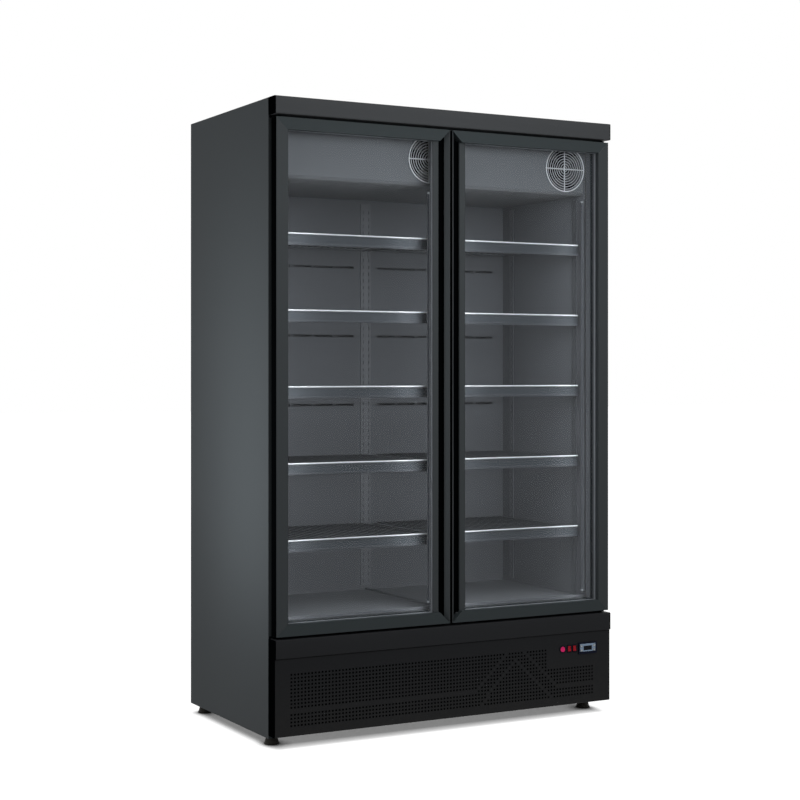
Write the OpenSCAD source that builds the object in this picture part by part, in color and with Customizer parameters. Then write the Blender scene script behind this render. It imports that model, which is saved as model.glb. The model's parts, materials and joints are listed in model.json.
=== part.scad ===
// Upright display freezer with two glass doors that open from the middle.
// The origin is on the floor, under the middle of the cabinet.
// X runs to the right, Y to the rear and Z up. All sizes are in millimetres.

/* [Cabinet] */
// Overall width
cabinet_w = 1250; // [1150:10:1400]
// Overall depth, from the header's face to the rear louvres
cabinet_d = 700; // [660:10:800]
// Overall height above the floor
cabinet_h = 2000; // [1900:10:2100]
// Thickness of the insulated side and rear walls
wall_t = 50; // [40:1:60]
// Height of the storage floor above the ground
floor_z = 386; // [376:1:400]
// Thickness of the insulated floor
floor_wall_t = 50; // [40:1:60]
// Thickness of the insulated ceiling
top_wall_t = 68; // [55:1:80]
// Thickness of the outer sheet metal
sheet_t = 1.2; // [0.8:0.1:2]
// How far the cabinet's face stands behind the header's face
face_setback = 51; // [50:0.5:56]
// How far the rear louvres stand out behind the back panel
louvre_rise = 8.5; // [6:0.5:12]
// Height of the side panels' lower edge above the ground
ground_gap = 30; // [24:1:40]

/* [Front] */
// Height of the header panel
header_h = 55; // [45:1:70]
// Height of the lower trim rail
trim_h = 58; // [45:1:70]
// Height of the trim rail's upper edge above the ground
trim_top = 338; // [330:1:345]
// Depth of the steel frame round the openings
front_frame_d = 30; // [24:1:45]
// How far the openings' upper edge lies below the header
opening_drop = 40; // [32:1:50]
// Width of the centre mullion
mullion_w = 76; // [70:1:90]
// Wall thickness of the header, the trim rail and the mullion
profile_t = 2; // [1.5:0.1:3]

/* [Doors] */
// Gap above and below the doors
door_gap = 8.5; // [8:0.5:11]
// How far the doors stand in from the cabinet's sides
door_side_inset = 6; // [4:0.5:10]
// Gap between the two doors
door_centre_gap = 8; // [5:0.5:12]
// How far the doors' faces stand behind the header's face
door_recess = 5; // [3:0.5:6]
// Thickness of the door frame
door_t = 36; // [34:0.5:37]
// Visible width of the hinge stile
stile_w = 40; // [38:0.5:46]
// Visible height of the door's rails
rail_w = 37; // [34:0.5:42]
// How far the strip beside the glass lies behind the door's face
strip_drop = 15; // [12:0.5:16]
// Thickness of the lips that hold the glass
glazing_lip_t = 3; // [2:0.5:3.5]
// How far the lips reach over the glass
glazing_lip_w = 9; // [6:0.5:11]
// Thickness of each glass pane
pane_t = 4; // [3:0.5:4.5]
// How far the spacer stands in from the panes' edge
spacer_inset = 1.5; // [1:0.5:2]
// Width of the spacer between the panes
spacer_w = 7; // [5:0.5:8]
// Width of the flat strip between the glass and the grip groove
grip_strip_w = 24; // [20:0.5:26]
// Width of the grip groove
groove_w = 19; // [16:0.5:22]
// Depth of the grip groove
groove_d = 28; // [22:0.5:30]
// Width of the slanted ridge at the doors' meeting edge
ridge_w = 14; // [11:0.5:18]
// How far the ridge falls from the meeting edge to the groove
ridge_drop = 16.5; // [10:0.5:19]
// How far the groove runs in behind the ridge
groove_undercut = 4; // [2:0.5:6]
// Height of the undercut behind the ridge
undercut_h = 7; // [4:0.5:9]
// Width of the magnetic gasket
gasket_w = 18; // [14:0.5:18]
// How far the gasket stands in from the door's edges
gasket_edge = 12; // [9:0.5:12]
// How far the gasket stands in from the hinge edge
gasket_hinge_edge = 16; // [15.5:0.5:18]
// Running gap between the gasket and the cabinet's face
gasket_gap = 0.3; // [0.2:0.1:0.5]

/* [Hinges] */
// Distance of the pivot from the door's outer edge
pivot_edge = 15; // [13:0.5:15]
// Distance of the pivot behind the door's face
pivot_depth = 20; // [18:0.5:22]
// Radius of the hinge pins
pin_r = 4; // [3:0.5:5]
// Radial clearance of the pins in their bushes
pin_clearance = 0.06; // [0.02:0.01:0.1]
// Outer radius of the hinge bushes
bush_r = 7; // [6:0.5:8]
// Length of the hinge bushes in the door
bush_l = 16; // [12:1:22]
// Radius of the bush's flange
bush_flange_r = 10; // [9:0.5:11]
// Thickness of the bush's flange
bush_flange_t = 1.5; // [1:0.1:2]
// End play between a bush's flange and its bracket
hinge_play = 0.3; // [0.2:0.1:0.5]
// Thickness of the hinge brackets
bracket_t = 3.5; // [3:0.1:4]
// Width of the hinge brackets
bracket_w = 36; // [30:1:40]
// Height of the hinge brackets' screwed flange
bracket_flange_h = 42; // [30:1:48]

/* [Shelves] */
// Number of shelves in each bay
shelf_count = 5; // [3:1:5]
// Distance from one shelf to the next
shelf_pitch = 241; // [220:1:250]
// Depth of the shelves
shelf_d = 472; // [440:1:475]
// How far the shelves' front edge stands behind the front frame
shelf_setback = 31; // [28:1:45]
// Gap between the shelves and the walls, and between the two bays
shelf_side_gap = 8; // [7:0.5:12]
// Diameter of the rods that frame a shelf
shelf_rod_d = 6; // [5:0.5:8]
// Diameter of the shelf's wires
wire_d = 4; // [3:0.5:4.5]
// Number of wires in a shelf
wire_count = 12; // [8:1:20]
// Height of the ticket strips
strip_h = 37; // [30:1:42]
// Thickness of the ticket strips
strip_t = 2; // [1.5:0.1:3]
// Width of the slotted uprights
upright_w = 25; // [20:1:30]
// Thickness of the slotted uprights
upright_t = 3; // [2:0.1:4]
// Distance from one slot to the next in the uprights
slot_pitch = 24.1; // [20:0.1:48]
// Height of the slots in the uprights
slot_h = 12; // [8:0.5:14]
// Width of the slots in the uprights
slot_w = 3.5; // [2.5:0.1:5]
// Thickness of the storage floor's deck pans
deck_t = 1.5; // [1:0.1:3]
// Height of the deck pans' upturned edges
deck_edge_h = 8; // [5:0.5:12]

/* [Lamps] */
// Thickness of the lamp bars
lamp_t = 6; // [5:0.5:10]
// Width of the lamp bars
lamp_w = 16; // [12:0.5:18]
// Radius of the rounded lamp covers
lamp_cover_r = 5; // [3:0.5:6]
// Distance of the lamps' ends from the openings' ends
lamp_end_gap = 20; // [10:1:60]

/* [Evaporator] */
// Height of the evaporator cover
evap_h = 170; // [160:1:190]
// How far the evaporator cover stands behind the cabinet's face
evap_setback = 37; // [36:1:60]
// Size of the slope at the evaporator cover's lower edge
evap_slope = 10; // [6:1:11]
// Radius of the evaporator fans' openings
evap_fan_r = 74; // [60:1:76]
// Height of the fans' centre below the ceiling
evap_fan_drop = 84; // [80:1:90]
// Distance of the left fan's centre to the left of the cabinet's middle
left_fan_offset = 40; // [20:1:120]
// Distance of the right fan's centre from the right side wall
evap_fan_inset = 83; // [82:1:140]
// Depth of the evaporator coil
evap_coil_d = 110; // [80:5:130]
// Gap between the evaporator coil and the side walls
evap_coil_side_gap = 60; // [50:5:90]
// Gap between the evaporator coil and the duct panel
evap_coil_rear_gap = 20; // [12:1:30]
// Gap between the evaporator cover and the side walls
evap_side_gap = 3; // [1:0.5:6]
// Depth of the duct behind the duct panel
duct_d = 36; // [25:1:45]

/* [Lower grille] */
// How far the grille's face stands behind the header's face
grille_recess = 6; // [4:0.5:8]
// Height of the grille's lower edge above the ground
grille_bottom = 40; // [36:1:50]
// Thickness of the grille's sheet
grille_t = 1.5; // [1:0.1:2]
// Distance from one hole to the next
hole_pitch = 16; // [12:1:32]
// Width of the square holes
hole_size = 10; // [6:0.5:10]
// Left edge of the perforated field, from the cabinet's left side
field_left = 56; // [40:1:80]
// Right edge of the tall part of the field
field_right = 988; // [900:1:990]
// Right edge of the low part of the field, under the controls
low_field_right = 1187; // [1100:1:1190]
// Lower edge of the perforated field
field_low = 70; // [60:1:80]
// Upper edge of the perforated field
field_high = 240; // [220:1:250]
// Upper edge of the low part of the field
low_field_high = 177; // [150:1:180]
// Distance of the peaked stripes' tip from the cabinet's left side
peak_x = 873; // [700:1:900]
// Height of the outer stripe's tip
outer_peak_z = 267; // [240:1:280]
// Height of the inner stripe's tip
inner_peak_z = 208; // [180:1:220]
// Width of the plain stripes
stripe_w = 12; // [8:1:18]
// Lower edge of the plain level band
band_low = 110; // [100:1:115]
// Upper edge of the plain level band
band_high = 130; // [125:1:140]

/* [Controls] */
// Distance of the controller's centre from the cabinet's left side
controller_x = 1158; // [1154:1:1166]
// Height of the controller's centre
controller_z = 225; // [215:1:235]
// Width of the controller's bezel
controller_w = 74; // [72:1:78]
// Height of the controller's bezel
controller_h = 38; // [36:1:42]
// How far the bezels stand proud of the grille
bezel_rise = 4; // [2:0.5:4]
// Width of the controller's display window
display_w = 34; // [26:1:36]
// Height of the controller's display window
display_h = 15; // [10:1:18]
// Distance of the buttons from the controller's centre
button_x = 26; // [24:0.5:27]
// Half the distance between the buttons of one side
button_z = 7; // [6:0.5:8]
// Width of the controller's buttons
button_w = 9; // [7:0.5:10]
// Height of the controller's buttons
button_h = 8; // [6:0.5:9]
// Clearance round the buttons
button_clearance = 0.4; // [0.3:0.05:0.6]
// Distance of the round power switch from the cabinet's left side
power_x = 1058; // [1046:1:1060]
// Distance of the light switch from the cabinet's left side
light_x = 1084; // [1080:1:1086]
// Distance of the heater switch from the cabinet's left side
heater_x = 1105; // [1103:1:1107]
// Height of the switches' centres
switch_z = 227; // [212:1:232]
// Outer radius of the round switch's frame
power_r = 11.5; // [11.5:0.5:13]
// Width of the rocker switches' frames
switch_w = 16; // [15:0.5:18]
// Height of the rocker switches' frames
switch_h = 24; // [23:0.5:28]
// Wall thickness of the switch frames
switch_wall = 1.5; // [1:0.1:2]
// Tilt of a rocker to either side of level
rocker_tilt = 7; // [5:0.5:9]

/* [Compressor compartment] */
// Radius of the compressor's shell
compressor_r = 78; // [65:1:90]
// Height of the compressor's shell
compressor_h = 175; // [150:1:200]
// Width of the condenser coil
condenser_w = 360; // [300:5:420]
// Height of the condenser coil
condenser_h = 210; // [180:5:230]
// Depth of the condenser coil
condenser_d = 56; // [40:1:80]
// Number of fins on the condenser and on the evaporator
fin_count = 24; // [12:1:36]
// Radius of the condenser fan's opening
condenser_fan_r = 98; // [80:1:100]

/* [Feet] */
// Diameter of the feet
foot_d = 48; // [40:1:54]
// Distance of the feet's centres from the cabinet's sides
foot_side = 38; // [34:1:60]
// Distance of the front feet's centres from the header's face
foot_front = 110; // [100:1:140]
// Distance of the rear feet's centres from the back panel
foot_rear = 36; // [34:1:60]
// Radius of the feet's studs
stud_r = 5; // [4:0.5:6]
// Radial clearance of the studs in the base
stud_clearance = 0.06; // [0.02:0.01:0.1]

/* [Hidden] */

$fn = 48;
// Amount by which a cutting shape runs past the face that it cuts
past = 1;
// Sides of the thin wires of shelves and guards
wire_faces = 8;

// Main planes of the cabinet
half_w = cabinet_w / 2;
front_y = -cabinet_d / 2;
face_y = front_y + face_setback;
back_y = cabinet_d / 2 - louvre_rise;
shell_x = half_w - sheet_t;
shell_top = cabinet_h - sheet_t;
inner_x = half_w - wall_t;
liner_t = 1.2;
liner_back_y = back_y - wall_t;
ceiling_z = cabinet_h - top_wall_t;
foam_bottom = floor_z - floor_wall_t;
frame_back_y = face_y + front_frame_d;
header_bottom = cabinet_h - header_h;
trim_bottom = trim_top - trim_h;
opening_top = header_bottom - opening_drop;
compartment_top = foam_bottom - sheet_t;

// Doors
door_w = half_w - door_side_inset - door_centre_gap / 2;
door_bottom = trim_top + door_gap;
door_top = header_bottom - door_gap;
door_h = door_top - door_bottom;
door_front_y = front_y + door_recess;
handle_stile_w = grip_strip_w + groove_w + ridge_w;
gasket_t = face_y - gasket_gap - door_front_y - door_t;
pivot_x = half_w - door_side_inset - pivot_edge;
pivot_y = door_front_y + pivot_depth;
pane_edge = glazing_lip_w - 1;
glass_recess = strip_drop + glazing_lip_t;
pane_gap = door_t - glass_recess - glazing_lip_t - 2 * pane_t;

// Shelves
shelf_front_y = frame_back_y + shelf_setback;
shelf_outer_x = inner_x - shelf_side_gap;
shelf_w = shelf_outer_x - shelf_side_gap;
duct_y = liner_back_y - duct_d;
upright_low = floor_z + deck_edge_h + 6;
evap_bottom = ceiling_z - evap_h;
upright_high = evap_bottom - 12;
rod_r = shelf_rod_d / 2;
// Places of the side uprights along the depth, at their middles
front_upright_y = shelf_front_y + 28;
rear_upright_y = shelf_front_y + shelf_d - 40;

// Evaporator
evap_y = face_y + evap_setback;
evap_fan_z = ceiling_z - evap_fan_drop;
fan_xs = [-left_fan_offset, inner_x - evap_fan_inset];
cover_t = 1.5;

// Lower grille and controls
grille_y = front_y + grille_recess;
grille_return = face_y - grille_y;

// Base
tray_t = 2;
tray_edge_h = 40;
tray_z = ground_gap + sheet_t;
tray_top = tray_z + tray_t;
flange_w = 22;
foot_x = half_w - foot_side;
front_foot_y = front_y + foot_front;
rear_foot_y = back_y - foot_rear;

// Compressor compartment
compressor_pos = [half_w - 275, back_y - 160, tray_top + 14];
condenser_x = -half_w + 225;
condenser_y = face_y + 45;
condenser_z = tray_top + 10;
condenser_fan_y = condenser_y + condenser_d + 2;
condenser_fan_z = condenser_z + condenser_h / 2;

module block(low, high) {
    translate(low) cube([high[0] - low[0], high[1] - low[1], high[2] - low[2]]);
}

module on_both_sides() {
    children();
    mirror([1, 0, 0]) children();
}

// A round bar along X from a point
module bar_x(from, length, radius, faces = $fn) {
    translate(from) rotate([0, 90, 0]) cylinder(h = length, r = radius, $fn = faces);
}

// A round bar along Y from a point
module bar_y(from, length, radius, faces = $fn) {
    translate(from) rotate([-90, 0, 0]) cylinder(h = length, r = radius, $fn = faces);
}

// Cabinet shell

module side_panels() color([0.31, 0.33, 0.34]) {
    on_both_sides() {
        block([shell_x, face_y, ground_gap], [half_w, back_y, shell_top]);
        // Bottom flange under the base tray
        block([half_w - flange_w, face_y, ground_gap], [half_w, back_y, tray_z]);
        // Front flange beside the compressor compartment, which carries the grille
        block([half_w - flange_w, face_y, ground_gap], [half_w, face_y + sheet_t, trim_bottom]);
    }
}

module top_panel() color([0.29, 0.31, 0.32]) {
    block([-half_w, face_y, shell_top], [half_w, back_y, cabinet_h]);
}

module back_panel() color([0.6, 0.62, 0.63]) {
    difference() {
        block([-shell_x, back_y - sheet_t, compartment_top], [shell_x, back_y, shell_top]);
        // Shallow pressed stiffening panels
        for (side = [-1, 1])
            translate([side * half_w / 2, back_y, (foam_bottom + shell_top) / 2])
                cube([half_w * 0.8, sheet_t / 2, (shell_top - foam_bottom) * 0.86], center = true);
    }
}

// Base tray with the feet's threaded bosses, and the sheet over the compartment
module chassis_sheets() color([0.2, 0.21, 0.22]) {
    boss_r = stud_r + 6;
    boss_h = 10;
    difference() {
        union() {
            block([-shell_x, face_y + sheet_t, tray_z], [shell_x, back_y - sheet_t, tray_top]);
            block([-half_w + flange_w, face_y + sheet_t, tray_z],
                [half_w - flange_w, face_y + sheet_t + tray_t, tray_z + tray_edge_h]);
            on_both_sides()
                block([shell_x - tray_t, face_y + sheet_t, tray_z],
                    [shell_x, back_y - sheet_t, tray_z + tray_edge_h]);
            for (x = [-foot_x, foot_x], y = [front_foot_y, rear_foot_y])
                translate([x, y, tray_top]) cylinder(h = boss_h, r = boss_r);
        }
        for (x = [-foot_x, foot_x], y = [front_foot_y, rear_foot_y])
            translate([x, y, ground_gap]) cylinder(h = boss_h * 3, r = stud_r + stud_clearance);
    }
    block([-shell_x, frame_back_y, compartment_top], [shell_x, back_y - sheet_t, foam_bottom]);
}

module foam_insulation() color([0.9, 0.85, 0.6]) {
    difference() {
        block([-shell_x, frame_back_y, foam_bottom], [shell_x, back_y - sheet_t, shell_top]);
        block([-inner_x - liner_t, frame_back_y - past, floor_z - liner_t],
            [inner_x + liner_t, liner_back_y + liner_t, ceiling_z + liner_t]);
    }
}

module inner_liner() color([0.75, 0.77, 0.78]) {
    difference() {
        block([-inner_x - liner_t, frame_back_y, floor_z - liner_t],
            [inner_x + liner_t, liner_back_y + liner_t, ceiling_z + liner_t]);
        block([-inner_x, frame_back_y - past, floor_z], [inner_x, liner_back_y, ceiling_z]);
    }
}

// Steel frame that the gaskets close on, with a step round the opening
module front_frame() color([0.3, 0.31, 0.32]) {
    step_w = 3;
    step_d = 8;
    difference() {
        block([-shell_x, face_y, trim_bottom], [shell_x, frame_back_y, shell_top]);
        block([-inner_x, face_y - past, floor_z], [inner_x, frame_back_y + past, opening_top]);
        block([-inner_x - step_w, frame_back_y - step_d, floor_z - step_w],
            [inner_x + step_w, frame_back_y + past, opening_top + step_w]);
    }
}

module centre_mullion() color([0.3, 0.31, 0.32]) {
    difference() {
        block([-mullion_w / 2, face_y, floor_z], [mullion_w / 2, frame_back_y, opening_top]);
        block([-mullion_w / 2 + profile_t, face_y + profile_t, floor_z - past],
            [mullion_w / 2 - profile_t, frame_back_y - profile_t, opening_top + past]);
    }
}

// Open-backed channel across the front, closed at its ends
module front_channel(low, high, hem) {
    face = front_y;
    hinge_room = profile_t + 2;
    block([-half_w, face, low], [half_w, face + profile_t, high]);
    block([-half_w, face, high - profile_t], [half_w, face_y - hinge_room, high]);
    block([-half_w, face, low], [half_w, face_y - hinge_room, low + profile_t]);
    on_both_sides() block([half_w - profile_t, face, low], [half_w, face_y, high]);
    // Screwed flange on the cabinet's face, between the hinge brackets
    between = half_w - door_side_inset - bracket_w - 10;
    block([-between, face_y - profile_t, hem[0]], [between, face_y, hem[1]]);
}

module header_panel() color([0.25, 0.26, 0.26]) {
    between = half_w - door_side_inset - bracket_w - 10;
    front_channel(header_bottom, cabinet_h, [cabinet_h - header_h * 0.6, cabinet_h]);
    block([-between, front_y, cabinet_h - profile_t], [between, face_y, cabinet_h]);
}

module lower_trim_rail() color([0.14, 0.14, 0.15]) {
    between = half_w - door_side_inset - bracket_w - 10;
    front_channel(trim_bottom, trim_top, [trim_bottom, trim_bottom + trim_h * 0.6]);
    block([-between, front_y, trim_bottom], [between, face_y, trim_bottom + profile_t]);
}

// Lower grille: square holes with two plain peaked stripes and a plain level band

function is_plain(x, z) =
    let (reach = abs(x - peak_x), half_stripe = stripe_w / sqrt(2))
    abs(reach - outer_peak_z + z) < half_stripe
    || abs(reach - inner_peak_z + z) < half_stripe
    || (z > band_low && z < band_high && reach > outer_peak_z - z);

function is_in_field(x, z) =
    x < field_right || (x < low_field_right && z < low_field_high);

module grille_holes() {
    columns = floor((low_field_right - field_left) / hole_pitch);
    rows = floor((field_high - field_low) / hole_pitch);
    for (column = [0 : columns - 1], row = [0 : rows - 1]) {
        x = field_left + (column + 0.5) * hole_pitch;
        z = field_low + (row + 0.5) * hole_pitch;
        if (is_in_field(x, z) && !is_plain(x, z))
            translate([x - half_w, z]) square(hole_size, center = true);
    }
}

module control_cutouts() {
    translate([controller_x - half_w, controller_z])
        square([controller_w - 5, controller_h - 6], center = true);
    translate([power_x - half_w, switch_z]) circle(r = power_r - 0.5);
    for (x = [light_x, heater_x])
        translate([x - half_w, switch_z]) square([switch_w - 1, switch_h - 1], center = true);
}

module front_grille() color([0.1, 0.1, 0.11]) {
    translate([0, grille_y + grille_t, 0]) rotate([90, 0, 0]) linear_extrude(grille_t) difference() {
        translate([-half_w, grille_bottom]) square([cabinet_w, trim_bottom - grille_bottom]);
        grille_holes();
        control_cutouts();
    }
    on_both_sides()
        block([half_w - grille_t, grille_y, grille_bottom], [half_w, face_y, trim_bottom]);
    block([-half_w, grille_y, grille_bottom], [half_w, face_y, grille_bottom + grille_t]);
    block([-half_w, grille_y, trim_bottom - grille_t], [half_w, face_y, trim_bottom]);
}

// Rear cover of the compressor compartment, with lanced louvres
module rear_grille() color([0.6, 0.62, 0.63]) {
    columns = 3;
    rows = 7;
    louvre_w = 150;
    louvre_h = 14;
    row_pitch = 30;
    column_pitch = 200;
    // The cable gland takes the free place at the right
    first_x = -half_w + 160;
    gland = gland_pos();
    difference() {
        block([-shell_x, back_y - sheet_t, tray_z], [shell_x, back_y, compartment_top]);
        for (column = [0 : columns - 1], row = [0 : rows - 1])
            translate([first_x + column * column_pitch - louvre_w / 2, back_y - sheet_t - past,
                70 + row * row_pitch]) cube([louvre_w, sheet_t + 2 * past, louvre_h - 3]);
        bar_y([gland[0], back_y - sheet_t - past, gland[2]], sheet_t + 2 * past, 9);
    }
    for (column = [0 : columns - 1], row = [0 : rows - 1])
        translate([first_x + column * column_pitch - louvre_w / 2, back_y, 70 + row * row_pitch])
            rotate([90, 0, 90]) linear_extrude(louvre_w)
                polygon([[0, louvre_h], [louvre_rise, 3], [louvre_rise, 0], [louvre_rise - 1.2, 0],
                    [louvre_rise - 1.2, 2.4], [0, louvre_h - 3], [-sheet_t, louvre_h - 3],
                    [-sheet_t, louvre_h]]);
}

function gland_pos() = [half_w - 90, back_y, 110];
gland_bore_r = 5;
gland_l = 14;

module cable_gland() color([0.08, 0.08, 0.09]) {
    at = gland_pos();
    difference() {
        union() {
            bar_y([at[0], back_y, at[2]], 3, 14);
            bar_y([at[0], back_y - sheet_t - 5, at[2]], gland_l - 1.8, 9);
            bar_y([at[0], back_y - sheet_t - 6.8, at[2]], 5, 13, 6);
        }
        bar_y([at[0], back_y - sheet_t - 6.8 - past, at[2]], gland_l + 2 * past, gland_bore_r);
    }
}

// Evaporator section under the ceiling

module evaporator_cover() color([0.75, 0.77, 0.78]) {
    side_x = inner_x - evap_side_gap;
    rear_y = duct_y;
    slot_l = 60;
    slot_edge = 70;
    slot_step = (2 * side_x - 2 * slot_edge - slot_l) / 9;
    difference() {
        translate([-side_x, 0, 0]) rotate([90, 0, 90]) linear_extrude(2 * side_x)
            polygon([[evap_y, ceiling_z], [evap_y, evap_bottom + evap_slope],
                [evap_y + evap_slope, evap_bottom], [rear_y, evap_bottom],
                [rear_y, evap_bottom + cover_t],
                [evap_y + evap_slope + cover_t / 2, evap_bottom + cover_t],
                [evap_y + cover_t, evap_bottom + evap_slope + cover_t / 2],
                [evap_y + cover_t, ceiling_z]]);
        for (x = fan_xs)
            bar_y([x, evap_y - past, evap_fan_z], cover_t + 2 * past, evap_fan_r);
        // Return air slots in the underside
        for (column = [0 : 9], row = [0 : 2])
            translate([-side_x + slot_edge + column * slot_step, evap_y + 70 + row * 26,
                evap_bottom - past])
                cube([slot_l, 8, cover_t + 2 * past]);
    }
}

// Round wire guards over the fans
module fan_guard(rings, outer_r, wire_r) {
    for (ring = [1 : rings])
        rotate([90, 0, 0]) rotate_extrude() translate([outer_r * ring / rings, 0])
            circle(r = wire_r, $fn = wire_faces);
    for (turn = [0 : 45 : 135])
        rotate([0, turn, 0]) bar_x([-outer_r, wire_r, 0], 2 * outer_r, wire_r, wire_faces);
}

guard_wire_r = 1.4;
module fan_guards() color([0.85, 0.87, 0.88]) {
    for (x = fan_xs) translate([x, evap_y - 2 * guard_wire_r, evap_fan_z])
        fan_guard(5, evap_fan_r + 3, guard_wire_r);
}

shaft_r = 3;
fan_clearance = 0.05;
evap_blade_y = evap_y + 16;
evap_hub_l = 22;
hub_r = 20;

// Motor behind a fan, with its shaft through the hub and four arms to the ring
module fan_motor(ring_r, arm_y, motor_y, motor_r, motor_l, shaft_from) {
    bar_y([0, motor_y, 0], motor_l, motor_r);
    bar_y([0, shaft_from, 0], motor_y - shaft_from + past, shaft_r);
    for (turn = [45 : 90 : 315]) rotate([0, turn, 0]) {
        block([motor_r - 2, motor_y + 6, -5], [ring_r + 8, motor_y + 9, 5]);
        block([ring_r + 5, arm_y, -5], [ring_r + 8, motor_y + 9, 5]);
    }
}

module evaporator_fan_motors() color([0.15, 0.15, 0.16]) {
    for (x = fan_xs) translate([x, 0, evap_fan_z])
        fan_motor(evap_fan_r - 4, evap_y + cover_t, evap_blade_y + evap_hub_l + 4, 27, 40,
            evap_blade_y);
}

// Five pitched blades on a hub, turning about Y
module fan_wheel(tip_r, hub_y, hub_l, blade_turn) {
    blade_t = 2;
    blade_count = 5;
    chord = hub_l / sin(blade_turn) * 0.8;
    reach = sqrt(tip_r * tip_r - chord * chord / 4);
    difference() {
        union() {
            bar_y([0, hub_y, 0], hub_l, hub_r);
            for (i = [0 : blade_count - 1])
                rotate([0, i * 360 / blade_count, 0])
                    translate([0, hub_y + hub_l / 2, 0]) rotate([90 - blade_turn, 0, 0])
                        block([hub_r / 2, -blade_t / 2, -chord / 2], [reach, blade_t / 2, chord / 2]);
        }
        bar_y([0, hub_y - past, 0], hub_l + 2 * past, shaft_r + fan_clearance);
    }
}

module evaporator_fan(x) {
    translate([x, 0, evap_fan_z]) fan_wheel(evap_fan_r - 6, evap_blade_y, evap_hub_l, 35);
}

module left_evaporator_fan() color([0.1, 0.1, 0.11]) evaporator_fan(fan_xs[0]);
module right_evaporator_fan() color([0.1, 0.1, 0.11]) evaporator_fan(fan_xs[1]);

// Finned block with round tubes, its fins square to X
module finned_coil(low, high, tube_rows, tube_columns, tube_r) {
    fin_t = 1;
    count = fin_count;
    pitch = (high[0] - low[0] - fin_t) / (count - 1);
    for (i = [0 : count - 1])
        block([low[0] + i * pitch, low[1], low[2]], [low[0] + i * pitch + fin_t, high[1], high[2]]);
    for (row = [0 : tube_rows - 1], column = [0 : tube_columns - 1])
        bar_x([low[0] - 12, low[1] + (high[1] - low[1]) * (column + 0.5) / tube_columns,
            low[2] + (high[2] - low[2]) * (row + 0.5) / tube_rows], high[0] - low[0] + 24, tube_r, 16);
}

coil_low_z = evap_bottom + 34;
coil_high_y = duct_y - evap_coil_rear_gap;
coil_low_y = coil_high_y - evap_coil_d;
coil_half_w = inner_x - evap_coil_side_gap;
module evaporator_coil() color([0.7, 0.72, 0.74]) {
    finned_coil([-coil_half_w, coil_low_y, coil_low_z], [coil_half_w, coil_high_y, ceiling_z - 8], 3, 2, 5);
    // Hangers that hold the coil to the ceiling
    on_both_sides() block([coil_half_w - 1, coil_low_y, ceiling_z - 40],
        [coil_half_w + 1, coil_high_y, ceiling_z]);
}

module drip_pan() color([0.8, 0.82, 0.83]) {
    reach = coil_half_w + evap_coil_side_gap / 2;
    low = [-reach, coil_low_y - evap_coil_rear_gap, evap_bottom + cover_t];
    high = [reach, coil_high_y + evap_coil_rear_gap / 2, evap_bottom + 30];
    pan_t = 1.2;
    difference() {
        block(low, high);
        block([low[0] + pan_t, low[1] + pan_t, low[2] + pan_t],
            [high[0] - pan_t, high[1] - pan_t, high[2] + past]);
    }
}

module duct_panel() color([0.7, 0.72, 0.73]) {
    panel_t = 1.5;
    slot_l = 70;
    slots = 6;
    difference() {
        block([-inner_x, duct_y, floor_z], [inner_x, duct_y + panel_t, ceiling_z]);
        // Air outlets over each shelf
        for (tier = [0 : shelf_count - 1], side = [-1, 1], i = [0 : slots - 1])
            translate([side * inner_x / 2 + (i - slots / 2 + 0.5) * (slot_l + 12),
                duct_y + panel_t / 2, floor_z + (tier + 0.72) * shelf_pitch])
                cube([slot_l, 4 * panel_t, 8], center = true);
        // Opening for the air from the coil
        block([-coil_half_w, duct_y - past, ceiling_z - 40],
            [coil_half_w, duct_y + panel_t + past, ceiling_z - 12]);
    }
    // Returned side edges that stand the panel off the liner's back
    on_both_sides()
        block([inner_x - panel_t, duct_y, floor_z], [inner_x, liner_back_y, ceiling_z]);
}

// Shelves and their carriers

// Slotted strip in the plane X = 0, standing to +X
module side_upright() {
    height = upright_high - upright_low;
    slots = floor((height - 20) / slot_pitch);
    translate([0, 0, upright_low]) rotate([90, 0, 90]) linear_extrude(upright_t) difference() {
        translate([-upright_w / 2, 0]) square([upright_w, height]);
        for (i = [0 : slots - 1])
            translate([-slot_w / 2, 12 + i * slot_pitch]) square([slot_w, slot_h]);
    }
}

// Wider strip in the plane Y = 0, standing to +Y, with two columns of slots
centre_upright_w = 40;
module centre_upright() {
    height = upright_high - upright_low;
    slots = floor((height - 20) / slot_pitch);
    column_x = 11;
    translate([0, upright_t, upright_low]) rotate([90, 0, 0]) linear_extrude(upright_t) difference() {
        translate([-centre_upright_w / 2, 0]) square([centre_upright_w, height]);
        for (side = [-1, 1], i = [0 : slots - 1])
            translate([side * column_x - slot_w / 2, 12 + i * slot_pitch]) square([slot_w, slot_h]);
    }
}

module shelf_uprights() color([0.72, 0.74, 0.75]) {
    on_both_sides() for (y = [front_upright_y, rear_upright_y])
        translate([-inner_x, y, 0]) side_upright();
    translate([0, frame_back_y, 0]) centre_upright();
    translate([0, duct_y - upright_t, 0]) centre_upright();
}

function shelf_z(i) = floor_z + (i + 1) * shelf_pitch;

// Height of the underside of a shelf's frame rods
function rod_bottom(i) = shelf_z(i) - wire_d / 2 - shelf_rod_d;

clip_t = 2;
clip_h = 20;
clip_w = 8;
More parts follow.
